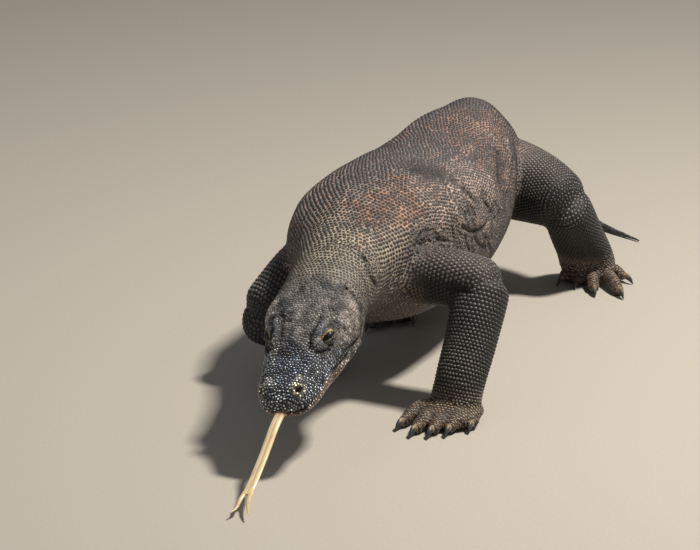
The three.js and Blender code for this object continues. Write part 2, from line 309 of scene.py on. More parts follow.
HAND = Paw(38, 0, ((-40, -19, -9, 75, 8.6), (-19, -7, -4, 79, 9), (0, -12, -1, 78, 9.2),
                   (18, -14, 0, 66, 9), (34, -31, 7, 56, 8.6)))
FOOT = Paw(37, 11, ((-25, -16, -15, 44, 8), (-8, -12, 0, 45, 8.6), (9, -8, 15, 73, 9.2),
                    (25, -20, 29, 94, 9.4), (29, -38, 60, 50, 8.2)))


def even_rows(rows: Iterable[Row], square: float) -> Array:
    """Rows of x, y, z, half width and half depth as rows of a Form."""
    return np.array([(*r[:4], r[4], r[4], square, 0.0) for r in rows], float)


@dataclass(frozen=True)
class Leg:
    """One leg, from the shoulder or hip to the claws.

    Fields:
        upper, lower: rows of x, y, z, half width, half depth.
        foot: the middle of the sole. heading: degrees from -Y towards +X.
        side: 1 on the left and -1 on the right.
    """

    name: str
    paw: Paw
    side: int
    upper: tuple[Row, ...]
    lower: tuple[Row, ...]
    foot: Row
    heading: float

    def _way(self, turn: float) -> Array:
        """The level direction at a turn from the heading."""
        angle = np.radians(self.heading + self.side * turn)
        return np.array([np.sin(angle), -np.cos(angle), 0.0])

    def _out(self, toe: Row, distance: float, high: float) -> Array:
        """A place over a toe's line, a distance out from its root."""
        along = self._way(0)
        outward = np.array([-along[1], along[0], 0.0]) * self.side
        place = np.array(self.foot) + outward * toe[0] + along * toe[1]
        place = place + self._way(toe[2]) * distance
        place[2] = high
        return place

    def limb_forms(self) -> list[Form]:
        """The upper and lower limb."""
        forward = (0.0, -1.0, 0.0)
        return [
            Form(f"{self.name}_upper", even_rows(self.upper, 2.1), forward, (0.0, 0.78)),
            Form(f"{self.name}_lower", even_rows(self.lower, 2.1), forward, (0.66, 0.0)),
        ]

    def paw_forms(self) -> list[Form]:
        """The palm and the five toes."""
        paw, foot = self.paw, np.array(self.foot)
        along = self._way(0)
        palm = []
        for distance, high, wide, deep in (
            (-34, 18.5, 0.86, 4), (-16, 18, 1, 3.5), (2, 15.5, 1, 0.5), (20, 11.5, 0.92, -4),
        ):
            x, y = (foot + along * (distance - paw.back))[:2]
            palm.append((x, y, high, paw.palm * wide, paw.height + deep))
        forms = [Form(f"{self.name}_palm", even_rows(palm, 2.4), UP, (0.6, 0.0))]
        for i, toe in enumerate(paw.toes):
            end, thick = toe[3] - paw.claw, toe[4]
            rows = [
                (*self._out(toe, 0, 17), thick * 0.94, thick + 1),
                (*self._out(toe, end * 0.45, 17), thick, thick + 0.6),
                (*self._out(toe, end * 0.8, 11.5), thick * 0.96, thick),
                (*self._out(toe, end + 2, 6), thick * 0.82, thick * 0.86),
            ]
            forms.append(Form(f"{self.name}_toe_{i + 1}", even_rows(rows, 2.0), UP, (0.0, 0.7), 0.8))
        return forms

    def claw_form(self, number: int) -> Form:
        """The claw of one toe: out of the toe's end, over and down to a point."""
        toe = self.paw.toes[number]
        end = toe[3] - self.paw.claw
        rows = [
            (*self._out(toe, end - 5, 9.5), 4, 4.6),
            (*self._out(toe, end + 4, 11), 3.9, 5),
            (*self._out(toe, end + self.paw.claw * 0.64, 8), 2.6, 3.6),
            (*self._out(toe, toe[3], 1.8), 0.7, 0.9),
        ]
        return Form(f"claw_{self.name}_{number + 1}", even_rows(rows, 2.0), inset=0.0)


LEGS = (
    Leg("front_left", HAND, 1,
        ((20, 12, 168, 48, 48), (84, 4, 170, 41, 42), (138, -2, 172, 39, 40), (206, -8, 165, 39, 39)),
        ((183, 4, 180, 38, 37), (182, -22, 140, 37, 37), (181, -48, 98, 36, 33),
         (179, -74, 58, 35, 29), (176, -88, 22, 36, 23)),
        (171, -102, 0), 0),
    Leg("front_right", HAND, -1,
        ((-46, 36, 174, 56, 60), (-88, 14, 150, 47, 50), (-108, -20, 128, 40, 40), (-130, -60, 94, 35, 35)),
        ((-126, -66, 100, 33, 34), (-122, -34, 84, 36, 34), (-112, 4, 60, 33, 29), (-104, 34, 28, 31, 22)),
        (-104, 26, 0), -8),
    Leg("hind_left", FOOT, 1,
        ((-22, 520, 164, 62, 58), (34, 510, 159, 59, 55), (84, 494, 152, 51, 49), (134, 470, 142, 38, 39)),
        ((120, 466, 150, 36, 36), (121, 492, 122, 38, 37), (122, 522, 86, 40, 35),
         (125, 550, 50, 43, 29), (128, 560, 26, 45, 24)),
        (129, 542, 0), 10),
    Leg("hind_right", FOOT, -1,
        ((-36, 505, 164, 62, 58), (-84, 474, 159, 59, 55), (-114, 446, 153, 51, 49),
         (-146, 408, 142, 38, 39)),
        ((-142, 416, 152, 36, 36), (-126, 382, 120, 37, 37), (-104, 346, 84, 36, 34),
         (-80, 306, 50, 36, 28), (-74, 288, 26, 36, 24)),
        (-66, 264, 0), 12),
)


# ---------------------------------------------------------------- meshes
def make_piece(name: str, points: Array, faces: Sequence[Array]) -> Object:
    """An object with a smooth-shaded mesh.

    Args:
        name: the piece's name.
        points: (n, 3) in millimetres, in the animal's frame.
        faces: arrays of faces, each (m, corners) of point numbers.
    """
    mesh = bpy.data.meshes.new(name)
    mesh.vertices.add(len(points))
    mesh.vertices.foreach_set("co", ((points + ORIGIN) * MM).astype(np.float32).ravel())
    if len(faces):
        sizes = np.concatenate([np.full(len(f), f.shape[1]) for f in faces])
        corners = np.concatenate([f.ravel() for f in faces]).astype(np.int32)
        mesh.loops.add(len(corners))
        mesh.loops.foreach_set("vertex_index", corners)
        mesh.polygons.add(len(sizes))
        mesh.polygons.foreach_set("loop_start", (np.cumsum(sizes) - sizes).astype(np.int32))
        mesh.polygons.foreach_set("use_smooth", np.ones(len(sizes), bool))
    mesh.update(calc_edges=True)
    piece = bpy.data.objects.new(name, mesh)
    bpy.context.scene.collection.objects.link(piece)
    return piece


def read_rows(items: Any, key: str, width: int, kind: type = np.float32) -> Array:
    """One property of all of a mesh's items, (n, width)."""
    flat = np.empty(len(items) * width, kind)
    items.foreach_get(key, flat)
    return flat.reshape(-1, width)


def read_points(mesh: Mesh) -> Array:
    """A mesh's points in millimetres in the animal's frame."""
    return read_rows(mesh.vertices, "co", 3).astype(float) / MM - ORIGIN


def write_points(mesh: Mesh, points: Array) -> None:
    """Puts points, in millimetres in the animal's frame, back into a mesh."""
    mesh.vertices.foreach_set("co", ((points + ORIGIN) * MM).astype(np.float32).ravel())
    mesh.update()


def read_normals(mesh: Mesh) -> Array:
    """The unit normal at each point of a mesh."""
    return read_rows(mesh.vertex_normals, "vector", 3).astype(float)


def read_edges(mesh: Mesh) -> Array:
    """The two point numbers of each edge, (n, 2)."""
    return read_rows(mesh.edges, "vertices", 2, np.int32)


def settle(piece: Object) -> None:
    """Makes a piece's mesh what its modifiers give, and removes them."""
    graph = bpy.context.evaluated_depsgraph_get()
    made = bpy.data.meshes.new_from_object(piece.evaluated_get(graph))
    old = piece.data
    piece.modifiers.clear()
    piece.data = made
    bpy.data.meshes.remove(old)
    made.name = piece.name
    made.polygons.foreach_set("use_smooth", np.ones(len(made.polygons), bool))


def paint_points(mesh: Mesh, name: str, colours: Array, gloss: Array | float = 0.0) -> None:
    """Stores a linear colour at each point of a mesh, and its gloss, 0 to 1, as alpha."""
    layer = mesh.attributes.new(name, "FLOAT_COLOR", "POINT")
    full = np.empty((len(colours), 4), np.float32)
    full[:, :3], full[:, 3] = colours, gloss
    layer.data.foreach_set("color", full.ravel())


def tube_faces(rings: int, sides: int) -> list[Array]:
    """Faces of a closed tube whose points are rings one after another, then two end middles."""
    ring, side = np.meshgrid(np.arange(rings - 1), np.arange(sides), indexing="ij")
    a = ring * sides + side
    b = ring * sides + (side + 1) % sides
    quads = np.stack([a, a + sides, b + sides, b], -1).reshape(-1, 4)
    k = np.arange(sides)
    after = (k + 1) % sides
    first = np.stack([np.full(sides, rings * sides), k, after], -1)
    base = (rings - 1) * sides
    last = np.stack([np.full(sides, rings * sides + 1), base + after, base + k], -1)
    return [quads, first, last]


def tube(form: Form, stations: Array, sides: int) -> tuple[Array, list[Array]]:
    """Points of a form on a grid of stations and angles, then its two end middles, and faces."""
    angles = np.arange(sides) * 2 * np.pi / sides
    points = form.surface(np.repeat(stations, sides), np.tile(angles, len(stations)))
    ends = form.sections(stations[[0, -1]])[0]
    return np.vstack([points, ends]), tube_faces(len(stations), sides)


def merge_shapes(name: str, shapes: Iterable[tuple[Array, list[Array]]], voxel: float) -> Object:
    """Several closed point and face sets as one surface, by a voxel remesh.

    The sets are joined with their point numbers moved on.
    """
    points, faces, count = [], [], 0
    for own, parts in shapes:
        points.append(own)
        faces += [part + count for part in parts]
        count += len(own)
    piece = make_piece(name, np.vstack(points), faces)
    remesh = piece.modifiers.new("union", "REMESH")
    remesh.mode = "VOXEL"
    remesh.voxel_size = voxel * MM
    settle(piece)
    return piece


def near_mean(values: Array, edges: Array) -> Array:
    """The mean of each point's neighbours along the edges."""
    a, b = edges.T
    total = [np.bincount(a, v[b], len(v)) + np.bincount(b, v[a], len(v)) for v in values.T]
    return np.stack(total, -1) / np.bincount(edges.ravel(), minlength=len(values))[:, None]


def relax(points: Array, edges: Array, share: Array | float, rounds: int) -> Array:
    """Points moved by a share of the way to their neighbours' mean, round by round."""
    for _ in range(rounds):
        points = points + share * (near_mean(points, edges) - points)
    return points


# ---------------------------------------------------------------- finishes
def set_sockets(node: Node, **inputs: Any) -> None:
    """Gives a node's input sockets their links and values.

    Args:
        node: the node.
        inputs: by socket name (with _ for a space) or in0, in1... for a socket by its
            number: an output socket to link from, or a value.
    """
    for key, value in inputs.items():
        numbered = key.startswith("in") and key[2:].isdigit()
        socket = node.inputs[int(key[2:]) if numbered else key.replace("_", " ")]
        if isinstance(value, NodeSocket):
            node.id_data.links.new(value, socket)
        else:
            socket.default_value = value


def add_node(
    tree: NodeTree, kind: str, settings: dict[str, Any] | None = None, **inputs: Any
) -> Node:
    """Adds a shader node with its settings, and its sockets' links and values.

    Args:
        tree: the material's node tree.
        kind: the node's type name without "ShaderNode".
        settings: properties of the node itself.
        inputs: as set_sockets takes them.
    """
    node = tree.nodes.new("ShaderNode" + kind)
    for key, value in (settings or {}).items():
        setattr(node, key, value)
    set_sockets(node, **inputs)
    return node


def start_material(name: str) -> tuple[Material, NodeTree, Node]:
    """A new material, its node tree and its shader."""
    material = bpy.data.materials.new(name)
    material.use_nodes = True
    return material, material.node_tree, material.node_tree.nodes["Principled BSDF"]


def set_ramp(node: Node, stops: Sequence[tuple[float, Array | float]]) -> Node:
    """Gives a colour ramp its stops: a place and a linear colour or a grey."""
    elements = node.color_ramp.elements
    while len(elements) < len(stops):
        elements.new(1.0)
    for element, (place, colour) in zip(elements, stops):
        element.position = place
        rgb = np.broadcast_to(np.asarray(colour, float), 3)
        element.color = (*rgb, 1.0)
    return node


@dataclass(frozen=True)
class ScaledHide:
    """Reptile hide: dry keratin scales, or the soft granular skin between them.

    The keratin is dusty and half matt with small glints on the crowns, the skin between is matt.
    Colour comes from the "paint" attribute that hide and scales share, which also carries
    painted shade in folds and painted highlights on the scales' tips, and its alpha makes snout and
    leg scales glossier.

    Fields:
        roughness: 0.42 for polished keratin to 0.66 for dusty soft skin.
        grain: pitch of the fine grain in millimetres: real scale pores are about 0.3 mm
            and are drawn at 0.9 mm or more so that they show.
        relief: height of the grain in millimetres.
        mottle: how much the fine mottle darkens.
        wet: weight of the clear gloss on the snout, which adds real glints beside the painted highlights on
            its scales' tips.
    """

    name: str
    roughness: float = 0.5
    grain: float = 0.9
    relief: float = 0.12
    mottle: float = 0.3
    wet: float = 0.0

    def make(self) -> Material:
        """The material."""
        material, tree, shader = start_material(self.name)
        place = add_node(tree, "TexCoord").outputs["Object"]
        stored = add_node(tree, "Attribute", {"attribute_name": "paint"}).outputs
        paint = stored["Color"]
        grain = add_node(
            tree, "TexNoise", Vector=place, Scale=1 / (self.grain * MM), Detail=3.0, Roughness=0.6
        ).outputs["Fac"]
        dust = add_node(tree, "TexNoise", Vector=place, Scale=1 / (9 * MM), Detail=4.0).outputs["Fac"]
        dark, light = 1.0 - self.mottle, 1.0 + self.mottle * 0.6
        shade = add_node(tree, "MapRange", in0=grain, in1=0.25, in2=0.75, in3=dark, in4=light).outputs[0]
        colour = add_node(tree, "VectorMath", {"operation": "SCALE"}, in0=paint, in3=shade).outputs[0]
        dusty = add_node(
            tree, "Mix", {"data_type": "RGBA"},
            in0=add_node(tree, "MapRange", in0=dust, in1=0.45, in2=0.8, in3=0.0, in4=0.05).outputs[0],
            in6=colour, in7=(*linear("#8a8078"), 1.0),
        ).outputs[2]
        low, high = self.roughness - 0.08, self.roughness + 0.16
        rough = add_node(tree, "MapRange", in0=dust, in1=0.3, in2=0.75, in3=low, in4=high).outputs[0]
        smooth = add_node(
            tree, "Math", {"operation": "MULTIPLY_ADD"}, in0=stored["Alpha"], in1=-0.26, in2=rough
        ).outputs[0]
        bump = add_node(tree, "Bump", Height=grain, Strength=0.7, Distance=self.relief * MM)
        set_sockets(
            shader, Base_Color=dusty, Roughness=smooth, IOR=KERATIN_IOR, Normal=bump.outputs["Normal"],
            Coat_Weight=self.wet, Coat_Roughness=0.16,
        )
        return material


@dataclass(frozen=True)
class Horn:
    """Claw horn: hard keratin worn by the ground.

    Tan with dark streaks, darkening to the point, and a half gloss. The streaks follow the
    claw, as its UV map runs from the root to the point.
    """

    name: str = "claw_horn"
    dark: str = "#34363a"
    pale: str = "#a38b69"
    roughness: float = 0.38

    def make(self) -> Material:
        """The material."""
        material, tree, shader = start_material(self.name)
        place = add_node(tree, "UVMap", {"uv_map": "UVMap"}).outputs["UV"]
        long = add_node(tree, "Mapping", Vector=place, Scale=(3.0, 14.0, 1.0)).outputs["Vector"]
        streak = add_node(tree, "TexNoise", Vector=long, Scale=1.0, Detail=4.0, Roughness=0.6).outputs["Fac"]
        dark, pale = linear(self.dark), linear(self.pale)
        stops = [(0.38, dark), (0.5, (dark + pale) / 2), (0.62, pale)]
        down = add_node(tree, "SeparateXYZ", Vector=place).outputs["X"]
        tip = add_node(tree, "MapRange", in0=down, in1=0.3, in2=0.75, in3=0.08, in4=-0.3).outputs[0]
        tone = add_node(tree, "Math", {"operation": "ADD"}, in0=streak, in1=tip).outputs[0]
        colour = set_ramp(add_node(tree, "ValToRGB", Fac=tone), stops).outputs["Color"]
        low, high = self.roughness - 0.08, self.roughness + 0.25
        rough = add_node(tree, "MapRange", in0=streak, in1=0.3, in2=0.8, in3=low, in4=high).outputs[0]
        bump = add_node(tree, "Bump", Height=streak, Strength=0.6, Distance=0.2 * MM).outputs["Normal"]
        set_sockets(shader, Base_Color=colour, Roughness=rough, IOR=KERATIN_IOR, Normal=bump)
        return material


@dataclass(frozen=True)
class WetTongue:
    """Tongue: soft wet mucous membrane.

    Pale cream-yellow with pinkish streaks along it, a wet sheen and light let in under the
    surface.
    """

    name: str = "tongue_membrane"
    pink: str = "#c08a72"

    def make(self) -> Material:
        """The material."""
        material, tree, shader = start_material(self.name)
        place = add_node(tree, "TexCoord").outputs["Object"]
        paint = add_node(tree, "Attribute", {"attribute_name": "paint"}).outputs["Color"]
        long = add_node(tree, "Mapping", Vector=place, Scale=(1.0, 0.16, 0.16)).outputs["Vector"]
        streak = add_node(tree, "TexNoise", Vector=long, Scale=1 / (2.5 * MM), Detail=3.0).outputs["Fac"]
        share = add_node(tree, "MapRange", in0=streak, in1=0.48, in2=0.72, in3=0.0, in4=0.55).outputs[0]
        colour = add_node(
            tree, "Mix", {"data_type": "RGBA"}, in0=share, in6=paint, in7=(*linear(self.pink), 1.0)
        ).outputs[2]
        bump = add_node(tree, "Bump", Height=streak, Strength=0.5, Distance=0.25 * MM)
        set_sockets(
            shader, Base_Color=colour, Roughness=0.3, IOR=1.4, Normal=bump.outputs["Normal"],
            Subsurface_Weight=0.15, Subsurface_Scale=2 * MM, Coat_Weight=0.35, Coat_Roughness=0.15,
        )
        return material


@dataclass(frozen=True)
class WetEye:
    """Eye: a clear wet cornea over a dark brown iris with a thin golden ring.

    A thin clear coat gives the small glint of a living eye.
    """

    name: str = "wet_eye"

    def make(self) -> Material:
        """The material. The "gaze" attribute is the angle from the gaze in half turns."""
        material, tree, shader = start_material(self.name)
        gaze = add_node(tree, "Attribute", {"attribute_name": "gaze"}).outputs["Fac"]
        place = add_node(tree, "TexCoord").outputs["Object"]
        fleck = add_node(tree, "TexNoise", Vector=place, Scale=1 / (1.1 * MM), Detail=3.0).outputs["Fac"]
        moved = add_node(tree, "Math", {"operation": "MULTIPLY_ADD"}, in0=fleck, in1=0.02, in2=gaze)
        stops = [
            (0.0, linear("#030303")), (0.105, linear("#050404")), (0.125, linear("#2c2010")),
            (0.15, linear("#120c08")), (0.27, linear("#0b0705")), (0.33, linear("#070504")),
        ]
        colour = set_ramp(add_node(tree, "ValToRGB", Fac=moved.outputs[0]), stops).outputs["Color"]
        rough = add_node(tree, "MapRange", in0=fleck, in1=0.3, in2=0.7, in3=0.3, in4=0.4).outputs[0]
        set_sockets(
            shader, Base_Color=colour, Roughness=rough, IOR=1.38, Coat_Weight=0.15, Coat_Roughness=0.12
        )
        return material


# ---------------------------------------------------------------- reliefs of the hide
def path_distance(points: Array, path: Array, reach: float) -> Array:
    """Distance from each point to a line of places, found only within reach of it.

    Args:
        points: (n, 3) places.
        path: (m, 3) places along the line.
        reach: points further than this read as ten times it.
    """
    step = np.linalg.norm(np.diff(path, axis=0), axis=1)
    at = np.concatenate([[0.0], np.cumsum(step)])
    fine = np.arange(0.0, at[-1] + 1e-6, max(at[-1] / 400, 1.0))
    samples = np.stack([np.interp(fine, at, path[:, k]) for k in range(3)], -1)
    low, high = samples.min(0) - reach, samples.max(0) + reach
    near = np.flatnonzero(((points > low) & (points < high)).all(1))
    distance = np.full(len(points), reach * 10.0)
    if len(near):
        own = points[near]
        squared = (own**2).sum(1)[:, None] - 2 * own @ samples.T + (samples**2).sum(1)[None]
        distance[near] = np.sqrt(np.maximum(squared.min(1), 0.0))
    return distance


@dataclass(frozen=True)
class Fold:
    """A fold or ridge of skin along a line.

    Its height across the line is -depth * (1 - rim * x^2) * e^(-x^2), with x the distance
    over the width: a groove with raised lips, or a ridge where the depth is negative.

    Fields:
        path: places along the line, in the animal's frame, or the head's if on_head.
        both: whether it is mirrored on the head's other side.
    """

    path: tuple[Row, ...]
    width: float
    depth: float
    rim: float = 0.8
    on_head: bool = False
    both: bool = False

    def _distance(self, points: Array) -> list[Array]:
        """Distance over width from each line, brought to the nearest points first."""
        found = []
        for side in (1, -1) if self.both else (1,):
            path = np.array(self.path, float)
            if self.on_head:
                path = HEAD.place(path * [1, side, 1])
            anchors = np.array([points[np.argmin(((points - spot) ** 2).sum(1))] for spot in path])
            found.append(path_distance(points, anchors, self.width * 3) / self.width)
        return found

    def nearness(self, points: Array) -> Array:
        """1 on the line, falling to 0 beside it."""
        return np.max([np.exp(-(x**2)) for x in self._distance(points)], axis=0)

    def height(self, points: Array) -> Array:
        """How far the fold moves each point out along the normal."""
        total = np.zeros(len(points))
        for x in self._distance(points):
            total -= self.depth * (1 - self.rim * x**2) * np.exp(-(x**2)) * (x < 3)
        return total


@dataclass(frozen=True)
class Bulge:
    """A soft swelling, or a hollow where its height is negative, on the head or body."""

    centre: Row
    width: float
    height_out: float
    on_head: bool = False
    both: bool = False

    def height(self, points: Array) -> Array:
        """How far the swelling moves each point: height * e^(-(distance / width)^2)."""
        total = np.zeros(len(points))
        for side in (1, -1) if self.both else (1,):
            centre = np.array(self.centre, float)
            if self.on_head:
                centre = HEAD.place(centre * [1, side, 1])[0]
            total += self.height_out * bell(away(points, centre), self.width)
        return total


@dataclass(frozen=True)
class Eye:
    """One eye and its lids.

    Fields:
        side: 1 for the left eye and -1 for the right.
        tilt: turn of the slit from the head's length, in degrees, back end outwards.
        long, high: half length and half height of the slit.
        edge: where the lids' edge stands, as slit reads it.
        lid, sunk: how far the lids stand over the ball, and the slit's floor lies under it.
        spread: how far round the eye the lids blend into the face.
        socket: half length and half height of the groove round the lids.
        groove, pad: depth of that groove, and height of the swelling over it.
    """

    side: int
    tilt: float = 36
    long: float = 5.8
    high: float = 2.2
    edge: float = 1.12
    lid: float = 1.6
    sunk: float = 3.0
    spread: float = 17
    socket: Row = (14.0, 9.5)
    groove: float = 2.3
    pad: float = 1.4

    @property
    def centre(self) -> Array:
        """The ball's middle."""
        return HEAD.place(np.array(HEAD.eye) * [1, self.side, 1])[0]

    def axes(self) -> Array:
        """Rows: the way the eye looks, along the slit towards the back, and across it upwards."""
        back, left, up = HEAD.axes()
        look = unit(left * (0.29 * self.side - 0.15) + up * 0.66 - back * 0.74)
        tilt = np.radians(self.tilt)
        along = back * np.cos(tilt) + left * self.side * np.sin(tilt)
        along = unit(along - look * (along @ look))
        across = unit(np.cross(look, along))
        return np.array([look, along, across if across @ up > 0 else -across])

    def slit(self, points: Array) -> tuple[Array, Array, Array]:
        """How far out of the slit each point is, and its place along and across it.

        The first is 1 on the slit's outline, and endless behind the eye.
        """
        look, along, across = self.axes()
        offset = points - self.centre
        u, v = offset @ along + 0.6, offset @ across + 0.3
        edge = self.high * (1 - 0.25 * (v < 0)) * np.maximum(1 - (u / self.long) ** 2, 0.06) ** 0.8
        out = np.maximum(np.abs(v) / edge, np.abs(u) / self.long)
        return np.where(offset @ look > 0, out, np.inf), u, v

    def shape(self, points: Array) -> Array:
        """Wraps the face round the ball.

        The distance from the ball's middle becomes at least radius + lid outside the slit, and
        radius - sunk inside it, and fades to what it was at the spread. Then the groove is
        pressed in and the pad raised.
        """
        offset = points - self.centre
        distance = np.linalg.norm(offset, axis=1)
        out, u, v = self.slit(points)
        rim = bell(out - 1.32, 0.22) * (0.5 + 0.5 * (v > 0))
        lids = HEAD.eye_radius - self.sunk + (self.lid + self.sunk) * ramp(out, 0.92, self.edge) + rim
        facing = unit(offset) @ self.axes()[0]
        share = ramp(-distance, -self.spread, -HEAD.eye_radius - 1.0) * ramp(facing, -0.1, 0.3)
        target = np.where(out > self.edge, np.maximum(lids, distance), lids)
        moved = points + unit(offset) * ((target - distance) * share)[:, None]
        ring = np.sqrt((u / self.socket[0]) ** 2 + ((v - 0.5) / self.socket[1]) ** 2)
        depth = self.groove * bell(ring - 1.0, 0.17) * ramp(facing, 0.0, 0.4)
        depth -= self.pad * bell(ring - 1.4, 0.25) * (v > 0)
        return moved - unit(offset) * (depth * (distance < self.spread + 9))[:, None]


EYES = (Eye(1), Eye(-1))


@dataclass(frozen=True)
class Wrinkles:
    """A patch of fine creased skin.

    Noise drawn out along the creases is near zero on wandering lines, and the skin sinks
    along them by depth * (1 - |noise| / 0.22), fading to the patch's edge.

    Fields:
        centre, size: middle and half sizes of the patch.
        along: the way the creases run.
        pitch, depth: distance between creases and how deep they are, in millimetres.
    """

    centre: Row
    size: Row
    along: Row = (0.0, 0.15, -1.0)
    pitch: float = 9.0
    depth: float = 1.3

    def share(self, points: Array) -> Array:
        """How much of the patch each point has."""
        away = np.linalg.norm((points - np.array(self.centre)) / np.array(self.size), axis=1)
        return ramp(-away, -1.0, -0.45)

    def height(self, points: Array) -> Array:
        """How far the creases move each point out along the normal."""
        along = unit(np.array(self.along))
        run = (points @ along)[:, None]
        drawn = points - run * along * 0.8
        noise = cloud(drawn, self.pitch, 41) * 0.75 + cloud(drawn, self.pitch * 0.5, 42) * 0.25
        return -self.depth * np.clip(1 - np.abs(noise) / 0.22, 0, 1) * self.share(points)


@dataclass(frozen=True)
class Relief:
    """All that shapes the hide beyond its plain forms.

    Fields:
        nostrils: the left and right nostril in the head's directions.
        nostril_wide, nostril_deep, nostril_rim: radius and depth of the hole and height of
            the rim round it.
        lip_line: (distance back, up) along the mouth.
        lip_full, lip_deep: how far the lips swell, and how deep the line between them is.
        lumps, pebbles: height of the trunk's lumps and of the fine unevenness.
    """

    nostrils: tuple[Row, Row] = ((19, 21, 22), (21, -27, 15))
    nostril_wide: float = 4.6
    nostril_deep: float = 8.0
    nostril_rim: float = 1.9
    lip_full: float = 1.2
    lip_deep: float = 3.0
    lumps: float = 2.2
    pebbles: float = 0.5
    lip_line: tuple[Row, ...] = ((-20, 0), (0, 0), (25, 1), (70, -2), (122, -5))
    bulges: tuple[Bulge, ...] = (
        Bulge((150, 54, 20), 27, 4.5, True, True),  # jaw muscle
        Bulge((106, 27, 40), 11, 2.2, True, True),  # brow
        Bulge((96, 44, 12), 11, 1.2, True, True),  # cheek
        Bulge((66, 0, 34), 20, -2.2, True),  # hollow of the forehead
        Bulge((19, 20, 22), 9, 2.2, True, True),  # round the nostril
        Bulge((128, 43, 33), 7, -1.8, True, True),  # dip behind the eye
        Bulge((182, 20, 48), 9, -1.5, True, True),  # nape
        Bulge((-33, 500, 285), 40, 4.0),  # hip bones
    )
    folds: tuple[Fold, ...] = (
        Fold(((34, 25, 26), (60, 29, 31), (86, 32, 36)), 5, -1.6, 0.2, True, True),
        Fold(((86, 29, 38), (104, 31, 42), (124, 36, 40)), 5.0, -3.4, 0.3, True, True),
        Fold(((82, 21, 38), (104, 21, 44), (128, 27, 46)), 4.0, 2.0, 0.4, True, True),
        Fold(((79, 33, 30), (83, 39, 25), (91, 43, 22)), 4.0, 3.6, 0.8, True, True),
        Fold(((191, 44, 36), (187, 51, 27), (180, 57, 16)), 2.8, 3.8, 0.9, True, True),
        Fold(((178, 59, 8), (168, 61, -2), (156, 61, -10)), 4.0, 1.6, 0.6, True, True),
        Fold(((124, 55, -7), (138, 59, -12), (156, 62, -18)), 3.6, 2.4, 0.8, True, True),
        Fold(((84, 46, -7), (105, 50, -11), (130, 55, -15), (150, 59, -15)), 3.4, 3.6, 0.9, True, True),
        Fold(((90, 46, -15), (105, 50, -19), (130, 54, -23), (150, 57, -22)), 3.8, -3.8, 0.3, True, True),
        Fold(((88, 43, -26), (112, 48, -33), (140, 52, -37), (168, 56, -40)), 3.8, 3.6, 1.0, True, True),
        Fold(((92, 34, -40), (118, 40, -47), (148, 44, -52), (178, 46, -54)), 4, 3.0, 1.0, True, True),
        Fold(((150, -4, 150), (150, -22, 172), (160, -34, 172), (176, -38, 168)), 6, 3.0),
        Fold(((64, -131, 231), (67, -129, 223), (72, -138, 215), (76, -139, 207), (77, -123, 191)),
             4.5, 4.0),
        Fold(((87, -6, 220), (88, -12, 213), (89, -17, 206)), 3.5, 3.5),
        Fold(((88, -1, 223), (88, 12, 228), (91, 26, 227)), 3.2, 2.6),
        Fold(((89, 3, 219), (96, 4, 211), (104, 10, 206)), 3.4, 3.6),
        Fold(((102, 80, 217), (104, 78, 207), (105, 67, 198)), 3.2, 3.4),
        Fold(((100, 36, 212), (100, 47, 206), (103, 59, 203)), 3.4, 3.0),
        Fold(((104, 108, 210), (105, 129, 198), (106, 153, 190), (106, 181, 186), (104, 208, 189),
              (102, 224, 198)), 4.2, 5.0),
        Fold(((102, 232, 183), (102, 238, 184), (97, 271, 185), (94, 287, 192), (90, 299, 202)), 3.8, 3.4),
        Fold(((105, 111, 199), (108, 116, 185), (106, 127, 172)), 3.8, 4.2),
        Fold(((107, 148, 187), (106, 166, 170), (102, 199, 153)), 3.8, 4.4),
        Fold(((102, 210, 157), (97, 238, 138), (90, 250, 124)), 4.0, 4.2),
        Fold(((93, 280, 150), (91, 288, 142), (84, 290, 128)), 3.8, 3.4),
        Fold(((67, 129, 262), (81, 125, 253), (89, 125, 242), (97, 117, 231)), 3.0, 2.2),
        Fold(((94, 148, 232), (100, 145, 224), (102, 151, 213)), 3.0, 2.8),
        Fold(((97, 204, 221), (100, 218, 209), (101, 226, 198)), 3.0, 2.8),
        Fold(((100, 94, 226), (103, 99, 214), (105, 100, 199)), 3.0, 2.4),
        Fold(((40, 436, 254), (52, 415, 245), (62, 392, 232), (74, 360, 216), (86, 322, 200)), 8, -3.5, 0.3),
        Fold(((58, 360, 245), (72, 330, 232), (84, 300, 218)), 6, 2.2, 0.5),
        Fold(((30, 120, 281), (62, 150, 266), (82, 165, 250), (94, 172, 236)), 7, 2.0, 0.6),
    )
    wrinkles: tuple[Wrinkles, ...] = (
        Wrinkles((104, 170, 190), (60, 135, 80), (0.0, 0.3, -1.0), 10.0, 3.2),
        Wrinkles((98, 22, 215), (44, 66, 42), (0.3, 0.5, -0.8), 9.0, 3.0),
        Wrinkles((74, -130, 205), (24, 34, 40), (0.0, 0.2, -1.0), 7.0, 1.2),
        Wrinkles((-104, 150, 180), (60, 150, 80)),
        Wrinkles((60, 330, 190), (60, 60, 80)),
    )

    def softness(self, points: Array) -> Array:
        """How soft and fine-grained the skin is: 1 inside the wrinkled patches."""
        return np.max([patch.share(points) for patch in self.wrinkles], axis=0)

    def sunk(self, points: Array) -> Array:
        """How deep in a fold each point is: e to the minus (distance / width) squared."""
        lines = [fold.nearness(points) for fold in self.folds if fold.depth > 0]
        return np.max([*lines, *(0.6 * w.height(points) / -w.depth for w in self.wrinkles)], axis=0)

    def lips(self, points: Array) -> tuple[Array, Array]:
        """Height of each point over the lip line and how much mouth there is there."""
        d, _, h = HEAD.read(points).T
        line = np.array(self.lip_line, float)
        over = h - np.interp(d, line[:, 0], line[:, 1])
        return over, ramp(-d, -HEAD.mouth_corner, -HEAD.mouth_corner + 10)

